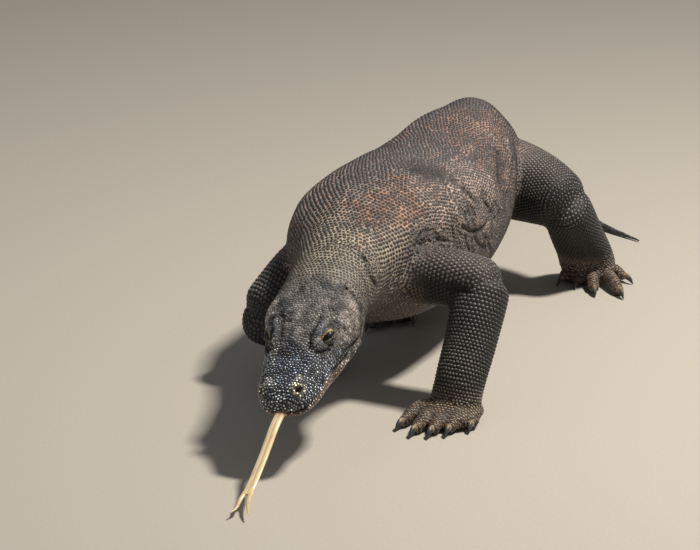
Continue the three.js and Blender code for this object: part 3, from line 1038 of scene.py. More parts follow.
    def fineness(self, points: Array) -> Array:
        """How large scales are there: smaller on soft skin, on the lids and by the nostrils."""
        size = 1 - 0.32 * self.softness(points)
        for eye, nostril in zip(EYES, self.nostrils):
            size *= 1 - 0.55 * ramp(-away(points, eye.centre), -HEAD.eye_radius - 9, -HEAD.eye_radius - 2)
            size *= 1 - 0.4 * ramp(-away(points, HEAD.place(nostril)[0]), -9.0, -5.0)
        return size

    def openings(self, points: Array) -> Array:
        """Whether each point is in the mouth, a nostril or an eye, where no scale stands."""
        over, mouth = self.lips(points)
        shut = (np.abs(over) < 1.6) & (mouth > 0.3)
        for eye, nostril in zip(EYES, self.nostrils):
            near = away(points, eye.centre) < HEAD.eye_radius + 5
            shut |= near & (eye.slit(points)[0] < eye.edge)
            shut |= away(points, HEAD.place(nostril)[0]) < self.nostril_wide + 0.6
        return shut

    def shape(self, points: Array, normals: Array) -> Array:
        """The hide's points moved to its folds, lips, nostrils and lids."""
        height = np.zeros(len(points))
        for part in (*self.bulges, *self.folds, *self.wrinkles):
            height += part.height(points)
        d = HEAD.read(points)[:, 0]
        trunk = ramp(d, 230, 330) * ramp(points[:, 2], 110, 180)
        height += self.lumps * cloud(points, 48, 51) * trunk
        height += self.pebbles * cloud(points, 7, 52) * ramp(d, 60, 90) * ramp(-d, -230, -200)
        over, mouth = self.lips(points)
        lip = self.lip_full * (bell(over - 5, 3.2) + bell(over + 5, 3.2)) - self.lip_deep * bell(over, 1.5)
        height += lip * mouth
        for nostril in self.nostrils:
            spot = points[np.argmin(((points - HEAD.place(nostril)) ** 2).sum(1))]
            far = away(points, spot)
            hole = self.nostril_deep * ramp(-far, -self.nostril_wide, -1.5)
            height += self.nostril_rim * bell(far - 6.4, 2.0) - hole
        moved = points + normals * height[:, None]
        for eye in EYES:
            moved = eye.shape(moved)
        return moved


RELIEF = Relief()


# ---------------------------------------------------------------- markings
class Region(Enum):
    """Where a scale grows, which sets its colours."""

    BODY = 0
    LIMB = 1
    PAW = 2


@dataclass(frozen=True)
class Patch:
    """A soft-edged patch of other colours, for net and bead.

    Its share is ramp(1 - distance / size + wander * noise), so the edge wanders.

    Fields:
        on_head: whether the centre is in the head's directions.
        both: whether it is mirrored on the other side.
    """

    centre: Row
    size: float | Row
    net: str
    bead: str
    share: float = 0.8
    on_head: bool = True
    both: bool = True
    wander: float = 0.35

    def add(self, points: Array, net: Array, bead: Array) -> tuple[Array, Array]:
        """The net and bead colours with the patch over them."""
        noise = cloud(points, 9, 21) * self.wander
        for side in (1, -1) if self.both else (1,):
            centre = np.array(self.centre, float) * [1, side, 1]
            offset = (HEAD.read(points) if self.on_head else points) - centre
            far = np.linalg.norm(offset / np.array(self.size, float), axis=1)
            share = ramp(1 - far + noise, 0.0, 0.4) * self.share
            net, bead = blend(net, linear(self.net), share), blend(bead, linear(self.bead), share)
        return net, bead


@dataclass(frozen=True)
class Markings:
    """Colours of the hide between the scales (net) and of the scales' crowns (bead)."""

    patches: tuple[Patch, ...] = (
        Patch((112, 0, 45), (48, 30, 30), "#5f5b58", "#7c7875", 0.85, True, False),
        Patch((46, 0, 28), (46, 46, 30), "#0a0b10", "#4b5361", 0.95, True, False, 0.8),
        Patch((8, 0, 10), (22, 40, 20), "#2c2d2e", "#9ba1a7", 0.8, True, False),
        Patch((72, 36, 22), 17, "#14161a", "#848d99", 0.7),
        Patch((150, 54, 18), (32, 30, 30), "#857d77", "#a19a95", 0.9),
        Patch((99, 36, 32), 19, "#2b2e33", "#666b72", 0.8),
        # painted shade darkening the head's right side round the eye
        Patch((102, -34, 35), 26, "#1b1d21", "#43474c", 0.7, True, False),
        Patch((91, 28, 36), 5, "#8d8666", "#c6bd98", 0.8),
        Patch((94, 41, 28), 4, "#8d8666", "#bdb69a", 0.7),
        # painted shade in the dip behind the eye
        Patch((128, 43, 33), 10, "#0e1013", "#2a2d33", 0.9),
        # painted shade in the groove in front of the eye
        Patch((84, 38, 26), 9, "#0e0f12", "#26292e", 0.9),
        Patch((149, -32, 42), 14, "#1b1d20", "#33373c", 0.8, True, False),
        Patch((183, 37, 40), 13, "#1b1d20", "#30353c", 0.8, True, False),
        Patch((186, 18, 46), 11, "#1b1d20", "#30353c", 0.8, True, False),
        Patch((24, 21, 24), 13, "#55544f", "#a9aba2", 0.8),
        Patch((35, 20, 28), 7, "#8c8b7e", "#d6d8ca", 0.75, True, False),
        Patch((2, 0, -9), (14, 34, 8), "#4a2f24", "#8a6450", 0.8, True, False),
        Patch((104, 31, 42), (24, 7, 12), "#3a3d42", "#777c83", 0.8),
        Patch((107, 52, -4), (42, 18, 10), "#0c0d10", "#24272c", 0.85),
        Patch((128, 54, -22), (48, 18, 5), "#8d826e", "#c9bfa6", 0.85),
        Patch((130, 52, -30), (60, 30, 22), "#332e29", "#aaa08e", 0.85),
        Patch((42, 8, 262), (50, 75, 40), "#8f6750", "#1f1b1c", 0.6, False, True, 1.2),
        Patch((0, 350, 278), (75, 100, 40), "#9a7058", "#2c292c", 0.5, False, False, 1.2),
        Patch((40, 140, 274), (40, 46, 26), "#5b4f50", "#29262b", 0.8, False),
        Patch((104, 150, 185), (60, 130, 70), "#8a7d72", "#29272a", 0.75, False),
        Patch((98, 10, 205), (40, 60, 45), "#6a6059", "#353234", 0.75, False),
        Patch((70, 330, 245), (46, 95, 52), "#755f51", "#242227", 0.65, False),
        Patch((76, -90, 178), (46, 60, 56), "#a8998a", "#383533", 0.6, False),
    )

    def _rows(self, station: Array, knots: Sequence[float], colours: Sequence[str]) -> Array:
        """Colours read along the body between knots."""
        rows = np.array([linear(c) for c in colours])
        return np.stack([np.interp(station, knots, rows[:, k]) for k in range(3)], -1)

    def body(self, station: Array, angle: Array, points: Array) -> tuple[Array, Array]:
        """Net and bead colours of head, trunk and tail.

        Args:
            station: rows along the body: 8 ends the head, 11 starts the shoulders, 19 ends
                the hips.
            angle: round the section from its left side upwards.
            points: places, for the drifts of colour.
        """
        top = np.sin(angle)
        drift = cloud(points, 60, 1) * 0.6 + cloud(points, 22, 2) * 0.4
        knots = [0, 3, 6, 7.5, 8.4, 10.4, 11.5, 13, 15, 17, 18.5, 20, 24, 32]
        net = self._rows(station, knots, [
            "#1f2126", "#26282c", "#35332f", "#4a4743", "#8c8474", "#9c8f7c", "#aa9482",
            "#b09c90", "#ad9b94", "#ab9385", "#806858", "#4b403a", "#2f2925", "#26211d",
        ])
        bead = self._rows(station, knots, [
            "#5a6068", "#5c6066", "#7d7a75", "#5c5956", "#1a1818", "#171515", "#1d1a1b",
            "#29282c", "#2f2e33", "#2a282c", "#2b292d", "#302e2f", "#242221", "#1d1b1a",
        ])
        trunk = ramp(station, 9.6, 11) * ramp(-station, -20.5, -19)
        spine = ramp(top, 0.84, 0.98) * ramp(station, 10, 12)
        net = blend(net, linear("#6b6767"), spine * 0.75)
        bead = blend(bead, linear("#343539"), spine * 0.6)
        flank = ramp(-top, -0.5, 0.0) * trunk * ramp(station, 11, 12.5)
        net = blend(net, linear("#6e645e"), flank * 0.6)
        bead = blend(bead, linear("#3c393b"), flank * 0.6)
        dark = trunk * ramp(-drift, 0.15, 0.5)
        net = blend(net, linear("#75696a"), dark * 0.6)
        bead = blend(bead, linear("#2e2c31"), dark * 0.5)
        under = ramp(-top, 0.25, 0.7) * ramp(station, 5, 8)
        net = blend(net, linear("#5a4a3a"), under * 0.8)
        bead = blend(bead, linear("#453b31"), under * 0.7)
        jaw = ramp(-station, -6.5, -5) * ramp(-top, -0.1, 0.12)
        net = blend(net, linear("#5a5042"), jaw * 0.8)
        bead = blend(bead, linear("#85786a"), jaw * 0.8)
        over, mouth = RELIEF.lips(points)
        labial = ramp(over, 1.0, 4.0) * ramp(-over, -17, -11) * mouth * ramp(-station, -7, -5)
        net = blend(net, linear("#101216"), labial * 0.8)
        bead = blend(bead, linear("#7d8794"), labial * 0.75)
        for patch in self.patches:
            net, bead = patch.add(points, net, bead)
        speckle = cloud(points, 3.7, 31) * 0.6 + cloud(points, 5.5, 32) * 0.4
        grey = ramp(-speckle, -0.1, 0.35) * ramp(station, 8.5, 10.5)
        net = blend(net, linear("#5d595a"), grey * 0.6)
        bright = ramp(speckle, 0.1, 0.5) * ramp(station, 8.0, 9.5)
        warm = bright * trunk * ramp(top, -0.1, 0.4) * 0.45
        net = blend(net * (1 + 0.5 * bright)[:, None], linear("#b8937c"), warm)
        crisp = ramp(station, 7.8, 9.0) * ramp(-station, -22, -19)
        fore = ramp(-station, -17, -12)
        net = net * (1 + 0.25 * crisp * (fore - 0.2))[:, None]
        bead = bead * (1 - 0.3 * crisp)[:, None]
        rough = 0.75 * cloud(points, 12, 33) + 0.85 * cloud(points, 4.6, 34) + 0.3 * speckle
        mottle = np.maximum(1 + rough * ramp(-station, -9, -7.5), 0.15)
        return self._lids(points, net * mottle[:, None], bead * mottle[:, None])

    def _lids(self, points: Array, net: Array, bead: Array) -> tuple[Array, Array]:
        """The eyelids' edges, yellow along the upper lid, and the pale rims of the nostrils."""
        for eye, nostril in zip(EYES, RELIEF.nostrils):
            out, u, v = eye.slit(points)
            near = (away(points, eye.centre) < HEAD.eye_radius + 9) & np.isfinite(out)
            gap = np.abs(v) - eye.high * np.maximum(1 - (u / eye.long) ** 2, 0.0)
            rim = near * ramp(-gap, -4.4, -3.4 + 1.6 * (v <= 0))
            rim = rim * ramp(-np.abs(u), -eye.long - 3.5, -eye.long)
            yellow = near * bell(v - 3.8 - 0.07 * u, 1.9) * ramp(u, -8, -4) * ramp(-u, -17, -13)
            yellow = yellow * (0.7 + 0.3 * eye.side)
            net, bead = blend(net, linear("#b8a062"), yellow), blend(bead, linear("#e8d68c"), yellow)
            below = rim * (v <= 0) * 0.7
            net, bead = blend(net, linear("#6a6048"), below), blend(bead, linear("#a89a70"), below)
            ring = bell(away(points, HEAD.place(nostril)[0]) - 7.2, 1.9)
            ring *= 0.9 * ramp(cloud(points, 6, 35), -0.55, 0.2)
            net, bead = blend(net, linear("#8f866a"), ring), blend(bead, linear("#cfc7a2"), ring)
        return net, bead

    def limb(self, points: Array, normals: Array) -> tuple[Array, Array]:
        """Net and bead colours of the legs: grey beads on black, browner high up, and painted shade that
        darkens the beads on sideways and downward faces.
        """
        drift = cloud(points, 40, 5)
        bead = blend(linear("#55524e"), linear("#736d66"), ramp(drift, 0.0, 0.6) * 0.6)
        bead = blend(bead, linear("#3f3d3b"), ramp(-drift, 0.1, 0.6) * 0.5)
        high = ramp(points[:, 2], 175, 205)
        net = blend(linear("#0f0e0e"), linear("#544840"), high * 0.6)
        bead = blend(bead, linear("#6d655f"), high * 0.4)
        # painted shade: beads on downward faces are painted browner and darker, and all beads darken from
        # the top towards sideways and downward faces
        bead = blend(bead, linear("#3a3129"), ramp(-normals[:, 2], 0.2, 0.8) * 0.8)
        bead = bead * (0.16 + 0.94 * ramp(normals[:, 2], -0.25, 0.8))[:, None]
        low = ramp(-points[:, 2], -60, -30)
        net = blend(net, linear("#332c27"), low * 0.8)
        bead = blend(bead, linear("#908375"), low * 0.8)
        return net, bead

    def paw(self, points: Array, normals: Array) -> tuple[Array, Array]:
        """Net (one colour) and bead colours of hands and feet: tan, with grey patches, and painted shade
        that darkens the beads on downward faces.
        """
        bead = blend(linear("#8c7966"), linear("#5f5953"), ramp(cloud(points, 14, 6), 0.1, 0.5) * 0.6)
        # painted shade: beads on downward faces are painted darker brown
        return linear("#3a3028"), blend(bead, linear("#5d4f42"), ramp(-normals[:, 2], 0.0, 0.8) * 0.7)


# ---------------------------------------------------------------- the hide
@dataclass
class Hide:
    """The one skin over head, trunk, tail and legs.

    Fields:
        voxel: cell of the union of all forms.
        triangles: how many are left after thinning.
        body_sides, limb_sides: points round each form.
        fillet_rounds: passes that round the creases where legs and toes meet the body.
        floor_gap: least height of the skin over the floor.
        eye_reach, nostril_reach, lip_reach: how far round each the mesh is made finer.
    """

    voxel: float = 2.5
    triangles: int = 186000
    body_sides: int = 120
    limb_sides: int = 64
    fillet_rounds: int = 7
    floor_gap: float = 0.5
    eye_reach: float = 18
    nostril_reach: float = 11
    lip_reach: float = 7
    piece: Object | None = None

    def _union(self) -> None:
        """All forms as closed tubes, merged into one surface by a voxel remesh."""
        body = body_form()
        stations = np.concatenate([[0.0], body.rows_at(0, body.last, 3.0), [body.last]])
        shapes = [tube(body, stations, self.body_sides)]
        for leg in LEGS:
            for form in (*leg.limb_forms(), *leg.paw_forms()):
                inner = form.rows_at(0, form.last, 2.0)
                stations = np.concatenate([[0.001], inner, [form.last - 0.001]])
                shapes.append(tube(form, stations, self.limb_sides))
        self.piece = merge_shapes("hide", shapes, self.voxel)

    def _fillet(self) -> None:
        """Rounds the creases.

        A point whose neighbours' mean stands out along its normal is in a crease. Round by
        round the creases are found, spread a little, and relaxed towards that mean.
        """
        mesh = self.piece.data
        points, edges = read_points(mesh), read_edges(mesh)
        for _ in range(self.fillet_rounds):
            hollow = ((near_mean(points, edges) - points) * read_normals(mesh)).sum(1)
            weight = ramp(hollow, 0.05, 0.22)[:, None]
            for _ in range(7):
                weight = np.maximum(weight, near_mean(weight, edges))
            points = relax(points, edges, np.clip(weight * 1.5, 0, 0.9), 9)
            write_points(mesh, points)
        points = relax(points, edges, 0.5, 3)
        points[:, 2] = np.maximum(points[:, 2], self.floor_gap)
        write_points(mesh, points)

    def _refine(self, chosen: Array) -> None:
        """Splits the faces whose points are all chosen into four."""
        mesh = self.piece.data
        work = bmesh.new()
        work.from_mesh(mesh)
        flags = chosen.tolist()
        edges = [e for e in work.edges if flags[e.verts[0].index] and flags[e.verts[1].index]]
        bmesh.ops.subdivide_edges(work, edges=edges, cuts=1, use_grid_fill=True)
        work.to_mesh(mesh)
        work.free()
        mesh.polygons.foreach_set("use_smooth", np.ones(len(mesh.polygons), bool))

    def build(self) -> Object:
        """Makes the skin: union, fillets, reliefs and thinning."""
        self._union()
        LOG.info("hide: union of %d points", len(self.piece.data.vertices))
        self._fillet()
        mesh = self.piece.data
        back = HEAD.read(read_points(mesh))[:, 0]
        self._refine((back < 190) & (back > -20))
        points = read_points(mesh)
        head = HEAD.read(points)[:, :1] < 185
        write_points(mesh, relax(points, read_edges(mesh), 0.5 * head, 3))
        points = read_points(mesh)
        over, mouth = RELIEF.lips(points)
        chosen = (np.abs(over) < self.lip_reach) & (mouth > 0)
        for eye, nostril in zip(EYES, RELIEF.nostrils):
            chosen |= away(points, eye.centre) < self.eye_reach
            chosen |= away(points, HEAD.place(nostril)[0]) < self.nostril_reach
        self._refine(chosen)
        points = RELIEF.shape(read_points(mesh), read_normals(mesh))
        points[:, 2] = np.maximum(points[:, 2], self.floor_gap)
        write_points(mesh, points)
        faces = sum(len(p.vertices) - 2 for p in mesh.polygons)
        LOG.info("hide: %d triangles before thinning", faces)
        thin = self.piece.modifiers.new("thin", "DECIMATE")
        thin.ratio = min(1.0, self.triangles / faces)
        thin.use_collapse_triangulate = True
        settle(self.piece)
        return self.piece


# ---------------------------------------------------------------- scales
@dataclass
class Seeds:
    """Where scales stand: one row in each array for each scale."""

    points: Array
    lie: Array
    size: Array  # half length, half width, height
    station: Array
    angle: Array
    region: Array
    piece: Array
    place: Array  # on the unwrap
    rank: Array
    limb: Array  # how much of the leg's colours
    normals: Array | None = None
    sunk: Array | None = None

    def pick(self, chosen: Array) -> "Seeds":
        """The chosen scales."""
        values = {k: v[chosen] for k, v in self.__dict__.items() if v is not None}
        return Seeds(**values)

    @staticmethod
    def join(parts: Sequence["Seeds"]) -> "Seeds":
        """Several sets as one."""
        keys = [k for k, v in parts[0].__dict__.items() if v is not None]
        return Seeds(**{k: np.concatenate([getattr(p, k) for p in parts]) for k in keys})


@dataclass(frozen=True)
class Lattice:
    """Rows of scales round a form, each row offset by half a scale from the one before.

    Fields:
        start, end: stations. pitch: between rows, read evenly from start of form to end.
        spacing: within a row. height: of a scale's crown over the skin.
        pieces: (last station, piece number) along the form.
        jitter: how far scales stray, as a share of the pitch.
        slant: how many stations further forward a row is under the belly than on the back.
        strip: which strip of the unwrap it takes, of how many.
    """

    form: Form
    start: float
    end: float
    pitch: Array
    spacing: Array
    height: Array
    region: Region
    pieces: tuple[tuple[float, int], ...]
    strip: tuple[int, int] = (0, 1)
    rank: float = 1.0
    jitter: float = 0.05
    slant: Array | None = None

    def seeds(self, rng: np.random.Generator) -> Seeds:
        """The scales of all rows.

        A row's scales stand at equal steps of arc length from the middle of the top, found
        by reading the running length round the section backwards.
        """
        stations = self.form.rows_at(self.start, self.end, self.pitch)
        marks = np.linspace(0, self.form.last, len(self.spacing))
        fine = np.pi / 2 + np.linspace(0, 2 * np.pi, 241)
        all_station, all_angle = [], []
        for i, station in enumerate(stations):
            ring = self.form.surface(np.full(len(fine), station), fine)
            length = np.concatenate([[0], np.cumsum(np.linalg.norm(np.diff(ring, axis=0), axis=1))])
            spacing = np.interp(station, marks, self.spacing)
            number = max(3, int(round(length[-1] / spacing)))
            share = (np.arange(number) + 0.5 * (i % 2)) / number * length[-1]
            all_angle.append(np.interp(share, length, fine))
            all_station.append(np.full(number, station))
        station, angle = np.concatenate(all_station), np.concatenate(all_angle)
        count = len(station)
        row = np.interp(station, stations, np.arange(len(stations)))
        row = row + rng.normal(0, self.jitter, count)
        station = np.interp(row, np.arange(len(stations)), stations)
        angle = angle + rng.normal(0, self.jitter * 0.05, count)
        if self.slant is not None:
            lean = np.interp(station, marks, self.slant) * (1 - np.sin(angle)) / 2
            here = self.form.surface(station, angle)
            sway = cloud(here, 70, 11) * 0.19 * ramp(station, 8.2, 9.5) * ramp(-station, -22, -19)
            station = np.clip(station - lean + sway, self.start, self.end)
        sizes = (self.pitch / 2, self.spacing / 2, self.height)
        points = self.form.surface(station, angle)
        ahead = self.form.surface(np.minimum(station + 0.01, self.form.last), angle)
        behind = self.form.surface(np.maximum(station - 0.01, 0), angle)
        lasts = np.array([p[0] for p in self.pieces])
        numbers = np.array([p[1] for p in self.pieces])
        own = np.minimum(np.searchsorted(lasts, station), len(lasts) - 1)
        low = np.concatenate([[self.start], lasts[:-1]])[own]
        along = (station - low) / (lasts[own] - low)
        round_share = (angle - np.pi / 2) / (2 * np.pi)
        place = np.stack([along, (self.strip[0] + round_share % 1.0) / self.strip[1]], -1)
        return Seeds(
            points=points,
            lie=unit(ahead - behind),
            size=np.stack([np.interp(station, marks, size) for size in sizes], -1),
            station=station,
            angle=angle,
            region=np.full(count, self.region.value),
            piece=numbers[own],
            place=place,
            rank=self.rank + rng.random(count) * 0.2,
            limb=np.full(count, float(self.region is not Region.BODY)),
        )


def close_pairs(points: Array, others: Array, reach: float) -> tuple[Array, Array]:
    """Pairs (point, other) closer than reach, by sorting both into cubic cells.

    Each point is compared with the others in the 27 cells round its own.
    """
    low = np.minimum(points.min(0), others.min(0)) - reach
    cells = [((p - low) // reach).astype(np.int64) for p in (points, others)]
    span = np.maximum(cells[0].max(0), cells[1].max(0)) + 3
    own, theirs = (((c[:, 0] + 1) * span[1] + c[:, 1] + 1) * span[2] + c[:, 2] + 1 for c in cells)
    order = np.argsort(theirs, kind="stable")
    ordered = theirs[order]
    left, right = [], []
    for step in np.ndindex(3, 3, 3):
        shift = ((step[0] - 1) * span[1] + step[1] - 1) * span[2] + step[2] - 1
        first = np.searchsorted(ordered, own + shift, "left")
        last = np.searchsorted(ordered, own + shift, "right")
        number = last - first
        a = np.repeat(np.arange(len(points)), number)
        offset = np.arange(len(a)) - np.repeat(np.cumsum(number) - number, number)
        b = order[np.repeat(first, number) + offset]
        near = ((points[a] - others[b]) ** 2).sum(1) < reach**2
        left.append(a[near])
        right.append(b[near])
    return np.concatenate(left), np.concatenate(right)


def thin_out(points: Array, radius: Array, rank: Array) -> Array:
    """Which points stay when no two may be closer than the mean of their radii.

    The lowest rank stays first. In each round a point with no lower-ranked rival left is
    kept, and its rivals go.
    """
    a, b = close_pairs(points, points, float(radius.max()))
    distance = np.linalg.norm(points[a] - points[b], axis=1)
    clash = (distance < (radius[a] + radius[b]) / 2) & (rank[b] < rank[a])
    a, b = a[clash], b[clash]
    state = np.zeros(len(points), int)  # 0 open, 1 kept, 2 gone
    while (state == 0).any():
        live = (state[a] == 0) & (state[b] != 2)
        blocked = np.zeros(len(points), bool)
        blocked[a[live & (state[b] == 0)]] = True
        gone = np.zeros(len(points), bool)
        gone[a[live & (state[b] == 1)]] = True
        state[gone & (state == 0)] = 2
        state[(state == 0) & ~blocked] = 1
    return state == 1


def nearest(points: Array, others: Array, reach: float) -> Array:
    """The number of the nearest other for each point, widening the reach until all have one."""
    found = np.full(len(points), -1)
    left = np.arange(len(points))
    while len(left):
        a, b = close_pairs(points[left], others, reach)
        distance = ((points[left][a] - others[b]) ** 2).sum(1)
        order = np.lexsort((distance, a))
        first = np.unique(a[order], return_index=True)[1]
        found[left[a[order][first]]] = b[order][first]
        left = left[found[left] < 0]
        reach *= 2
    return found


@dataclass
class Coat:
    """The scales: closed keratin domes in rows over the hide.

    Fields:
        hide: the skin they stand on.
        names: the coat pieces' names.
        row_gap, fill_gap: least distance between scales in rows, and between the small ones
            that fill in, over the mean of their sizes.
        fill_area: square millimetres per candidate for a small scale.
        deepest: how deep in a fold a scale may stand.
        sides: of each scale's outline.
    """

    hide: Object
    markings: Markings = Markings()
    row_gap: float = 1.62
    fill_gap: float = 1.9
    fill_area: float = 2.4
    deepest: float = 0.86
    sides: int = 8
    names: tuple[str, ...] = (
        "scales_snout", "scales_head", "scales_neck", "scales_shoulders", "scales_flanks", "scales_loins",
        "scales_hips", "scales_tail_base", "scales_tail", "scales_front_left",
        "scales_front_right", "scales_hind_left", "scales_hind_right",
    )
    seeds: Seeds | None = None
    hide_sunk: Array | None = None

    def _lattices(self) -> list[Lattice]:
        """All rows of scales, head first."""
        body = body_form()
        marks = np.arange(body.last + 1, dtype=float)
        knots = [0, 3, 7, 8, 9.5, 11.5, 13.5, 16, 19, 22, 26, 30, 32]
        pitch = np.interp(marks, knots, [3.7, 4.1, 3.6, 4.9, 6.0, 6.5, 6.3, 6.3, 5.9, 5.5, 4.8, 3.4, 2.6])
        spacing = np.interp(marks, knots, [3.7, 4.0, 3.5, 4.7, 5.7, 6.0, 5.2, 5.1, 4.9, 4.7, 4.2, 3.2, 2.4])
        height = np.interp(marks, knots, [0.9, 0.8, 0.5, 0.95, 1.25, 1.3, 1.2, 1.2, 1.2, 1.1, 1.0, 0.8, 0.6])
        slant = np.interp(marks, [8, 10.5, 11.5, 13, 15, 18, 20, 22], [0, 0.6, 0.9, 0.9, 0.8, 0.6, 0.2, 0])
        ends = ((4.4, 0), (8, 1), (10.8, 2), (13, 3), (14.6, 4), (16.3, 5), (18.8, 6), (22, 7), (32, 8))
        lattices = [
            Lattice(body, 0.3, 8, pitch, spacing, height, Region.BODY, ends[:2], jitter=0.2),
            Lattice(body, 8, 31.9, pitch, spacing, height, Region.BODY, ends[2:], jitter=0.08, slant=slant),
        ]
        one = np.ones(4)
        for i, leg in enumerate(LEGS):
            forms = [*leg.limb_forms(), *leg.paw_forms()]
            thigh, shank = (1.0, 1.0) if leg.paw is HAND else (0.88, 0.9)
            for k, form in enumerate(forms):
                limb, part = k < 2, min(k, 3)  # upper, lower, palm and toes
                along = (
                    np.array([5.8, 5.8, 6.0, 6.0]) * thigh, np.array([6.0, 5.4, 4.6, 4.0]) * shank,
                    one * 3.7, one * 3.1,
                )[part]
                across = along * (1.0, 1.12, 1.4, 2.3)[part]
                tall = one * (1.25, 1.2, 0.9, 0.75)[part]
                start, rank, region = (0.0, 1.5, Region.LIMB) if limb else (0.05, 1.2, Region.PAW)
                own, strip = ((9.0, 9 + i),), (k, len(forms))
                lattices.append(
                    Lattice(form, start, form.last - 0.02, along, across, tall, region, own, strip, rank)
                )
        return lattices

    def _settle_on_hide(self, seeds: Seeds, drop: float) -> Seeds:
        """Moves scales to the nearest place on the hide and reads its normal there.

        Args:
            seeds: the scales.
            drop: scales that move further than this, which stand where two forms meet, go.
        """
        points = self._shrink(seeds.points, "ON_SURFACE", 0.0)
        lifted = self._shrink(points, "ABOVE_SURFACE", 2.0)
        moved = np.linalg.norm(points - seeds.points, axis=1)
        seeds.points, seeds.normals = points, unit(lifted - points)
        return seeds.pick(moved < drop)

    def _shrink(self, points: Array, mode: str, offset: float) -> Array:
        """Points shrink-wrapped to the hide."""
        carrier = make_piece("carrier", points, [])
        wrap = carrier.modifiers.new("wrap", "SHRINKWRAP")
        wrap.target = self.hide
        wrap.wrap_method = "NEAREST_SURFACEPOINT"
        wrap.wrap_mode = mode
        wrap.offset = offset * MM
        settle(carrier)
        mesh = carrier.data
        moved = read_points(mesh)
        bpy.data.objects.remove(carrier)
        bpy.data.meshes.remove(mesh)
        return moved

    def _fill(self, seeds: Seeds, rng: np.random.Generator) -> Seeds:
        """Small scales wherever the rows leave the hide bare.

        Candidates are spread evenly by area: a face is picked by its share of the running
        area, and a place in it from two random numbers. Those too near a scale go.
        """
        mesh = self.hide.data
        points, normals = read_points(mesh), read_normals(mesh)
        a, b, c = read_rows(mesh.polygons, "vertices", 3, np.int32).T
        area = np.linalg.norm(np.cross(points[b] - points[a], points[c] - points[a]), axis=1) / 2
        total = np.cumsum(area)
        number = int(total[-1] / self.fill_area)
        face = np.searchsorted(total, rng.random(number) * total[-1])
        u, v = rng.random((2, number))
        u, v = np.where(u + v > 1, 1 - u, u), np.where(u + v > 1, 1 - v, v)
        spots, facing = (
            x[a[face]] * (1 - u - v)[:, None] + x[b[face]] * u[:, None] + x[c[face]] * v[:, None]
            for x in (points, normals)
        )
        owner = nearest(spots, seeds.points, 6.0)
        own = seeds.pick(owner)
        gap = np.linalg.norm(spots - own.points, axis=1)
        wide = own.size[:, 1]
        free = (gap > wide * 1.45) & (spots[:, 2] > 1.0)
        a2, b2 = close_pairs(spots[free], seeds.points, 8.0)
        room = np.linalg.norm(spots[free][a2] - seeds.points[b2], axis=1) - seeds.size[b2, 1]
        least = np.full(int(free.sum()), 9.0)
        np.minimum.at(least, a2, room)
        extra = own.pick(free)
        extra.points, extra.normals = spots[free], unit(facing[free])
        reach = np.clip(least, 0.7, wide[free])
        extra.size = np.stack([reach * 1.05, reach, extra.size[:, 2] * reach / wide[free]], -1)
        extra.place = extra.place + rng.uniform(-0.004, 0.004, extra.place.shape)
        extra = extra.pick(least > 0.8)
        extra.rank = 5 - extra.size[:, 1] + rng.random(len(extra.rank)) * 0.5
        return extra.pick(thin_out(extra.points, extra.size[:, 1] * self.fill_gap, extra.rank))

    def grow(self) -> None:
        """Finds where every scale stands, and how deep in a fold each point of the hide is."""
        rng = np.random.default_rng(SEED)
        parts = []
        for lattice in self._lattices():
            seeds = lattice.seeds(rng)
            if lattice.form.name.endswith("_upper"):
                seeds.limb = ramp(seeds.station, 0.9, 1.8)
            head = lattice.form.name == "body" and lattice.start < 1
            parts.append(self._settle_on_hide(seeds, 9.0 if head else 7.0))
        seeds = Seeds.join(parts)
        seeds = seeds.pick((seeds.points[:, 2] > 0.9) & ~RELIEF.openings(seeds.points))
        self._blend_legs(seeds)
        seeds.size = seeds.size * RELIEF.fineness(seeds.points)[:, None]
        wide = seeds.size[:, :2].mean(1)
        seeds = seeds.pick(thin_out(seeds.points, wide * self.row_gap, seeds.rank))
        LOG.info("scales: %d in rows", len(seeds.points))
        extra = self._fill(seeds, rng)
        extra = extra.pick(~RELIEF.openings(extra.points))
        LOG.info("scales: %d between them", len(extra.points))
        seeds = Seeds.join([seeds, extra])
        hide_points = read_points(self.hide.data)
        self.hide_sunk = RELIEF.sunk(hide_points)
        seeds.sunk = self.hide_sunk[nearest(seeds.points, hide_points, 4.0)]
        self.seeds = seeds.pick(seeds.sunk < self.deepest)

    @staticmethod
    def _blend_legs(seeds: Seeds) -> None:
        """Gives the leg scales nearest the body the body's own rows, for their colours."""
        body = np.flatnonzero(seeds.region == Region.BODY.value)
        body = body[(seeds.station[body] > 8) & (seeds.station[body] < 16)]
        near = np.flatnonzero((seeds.region == Region.LIMB.value) & (seeds.limb < 1))
        own = body[nearest(seeds.points[near], seeds.points[body], 12.0)]
        seeds.station[near], seeds.angle[near] = seeds.station[own], seeds.angle[own]

    def colours(self) -> tuple[Array, Array]:
        """Net and bead colour of each scale, with painted shade that darkens them in folds and creases."""
        s = self.seeds
        net, bead = self.markings.body(s.station, s.angle, s.points)
        for region, paint in ((Region.LIMB, self.markings.limb), (Region.PAW, self.markings.paw)):
            chosen = s.region == region.value
            own_net, own_bead = paint(s.points[chosen], s.normals[chosen])
            net[chosen] = blend(net[chosen], own_net, s.limb[chosen])
            bead[chosen] = blend(bead[chosen], own_bead, s.limb[chosen])
        # painted shade: scales deep in folds and creases are darkened
        return net * (1 - 0.85 * s.sunk)[:, None], bead * (1 - 0.7 * s.sunk)[:, None]

    def gloss(self) -> Array:
        """Gloss of each scale: most on the snout, then the legs."""
        s = self.seeds
        snout = ramp(-s.station, -5.5, -3.0) * (s.region == Region.BODY.value)
        return np.maximum(0.35 + 0.65 * snout, 0.6 * s.limb)

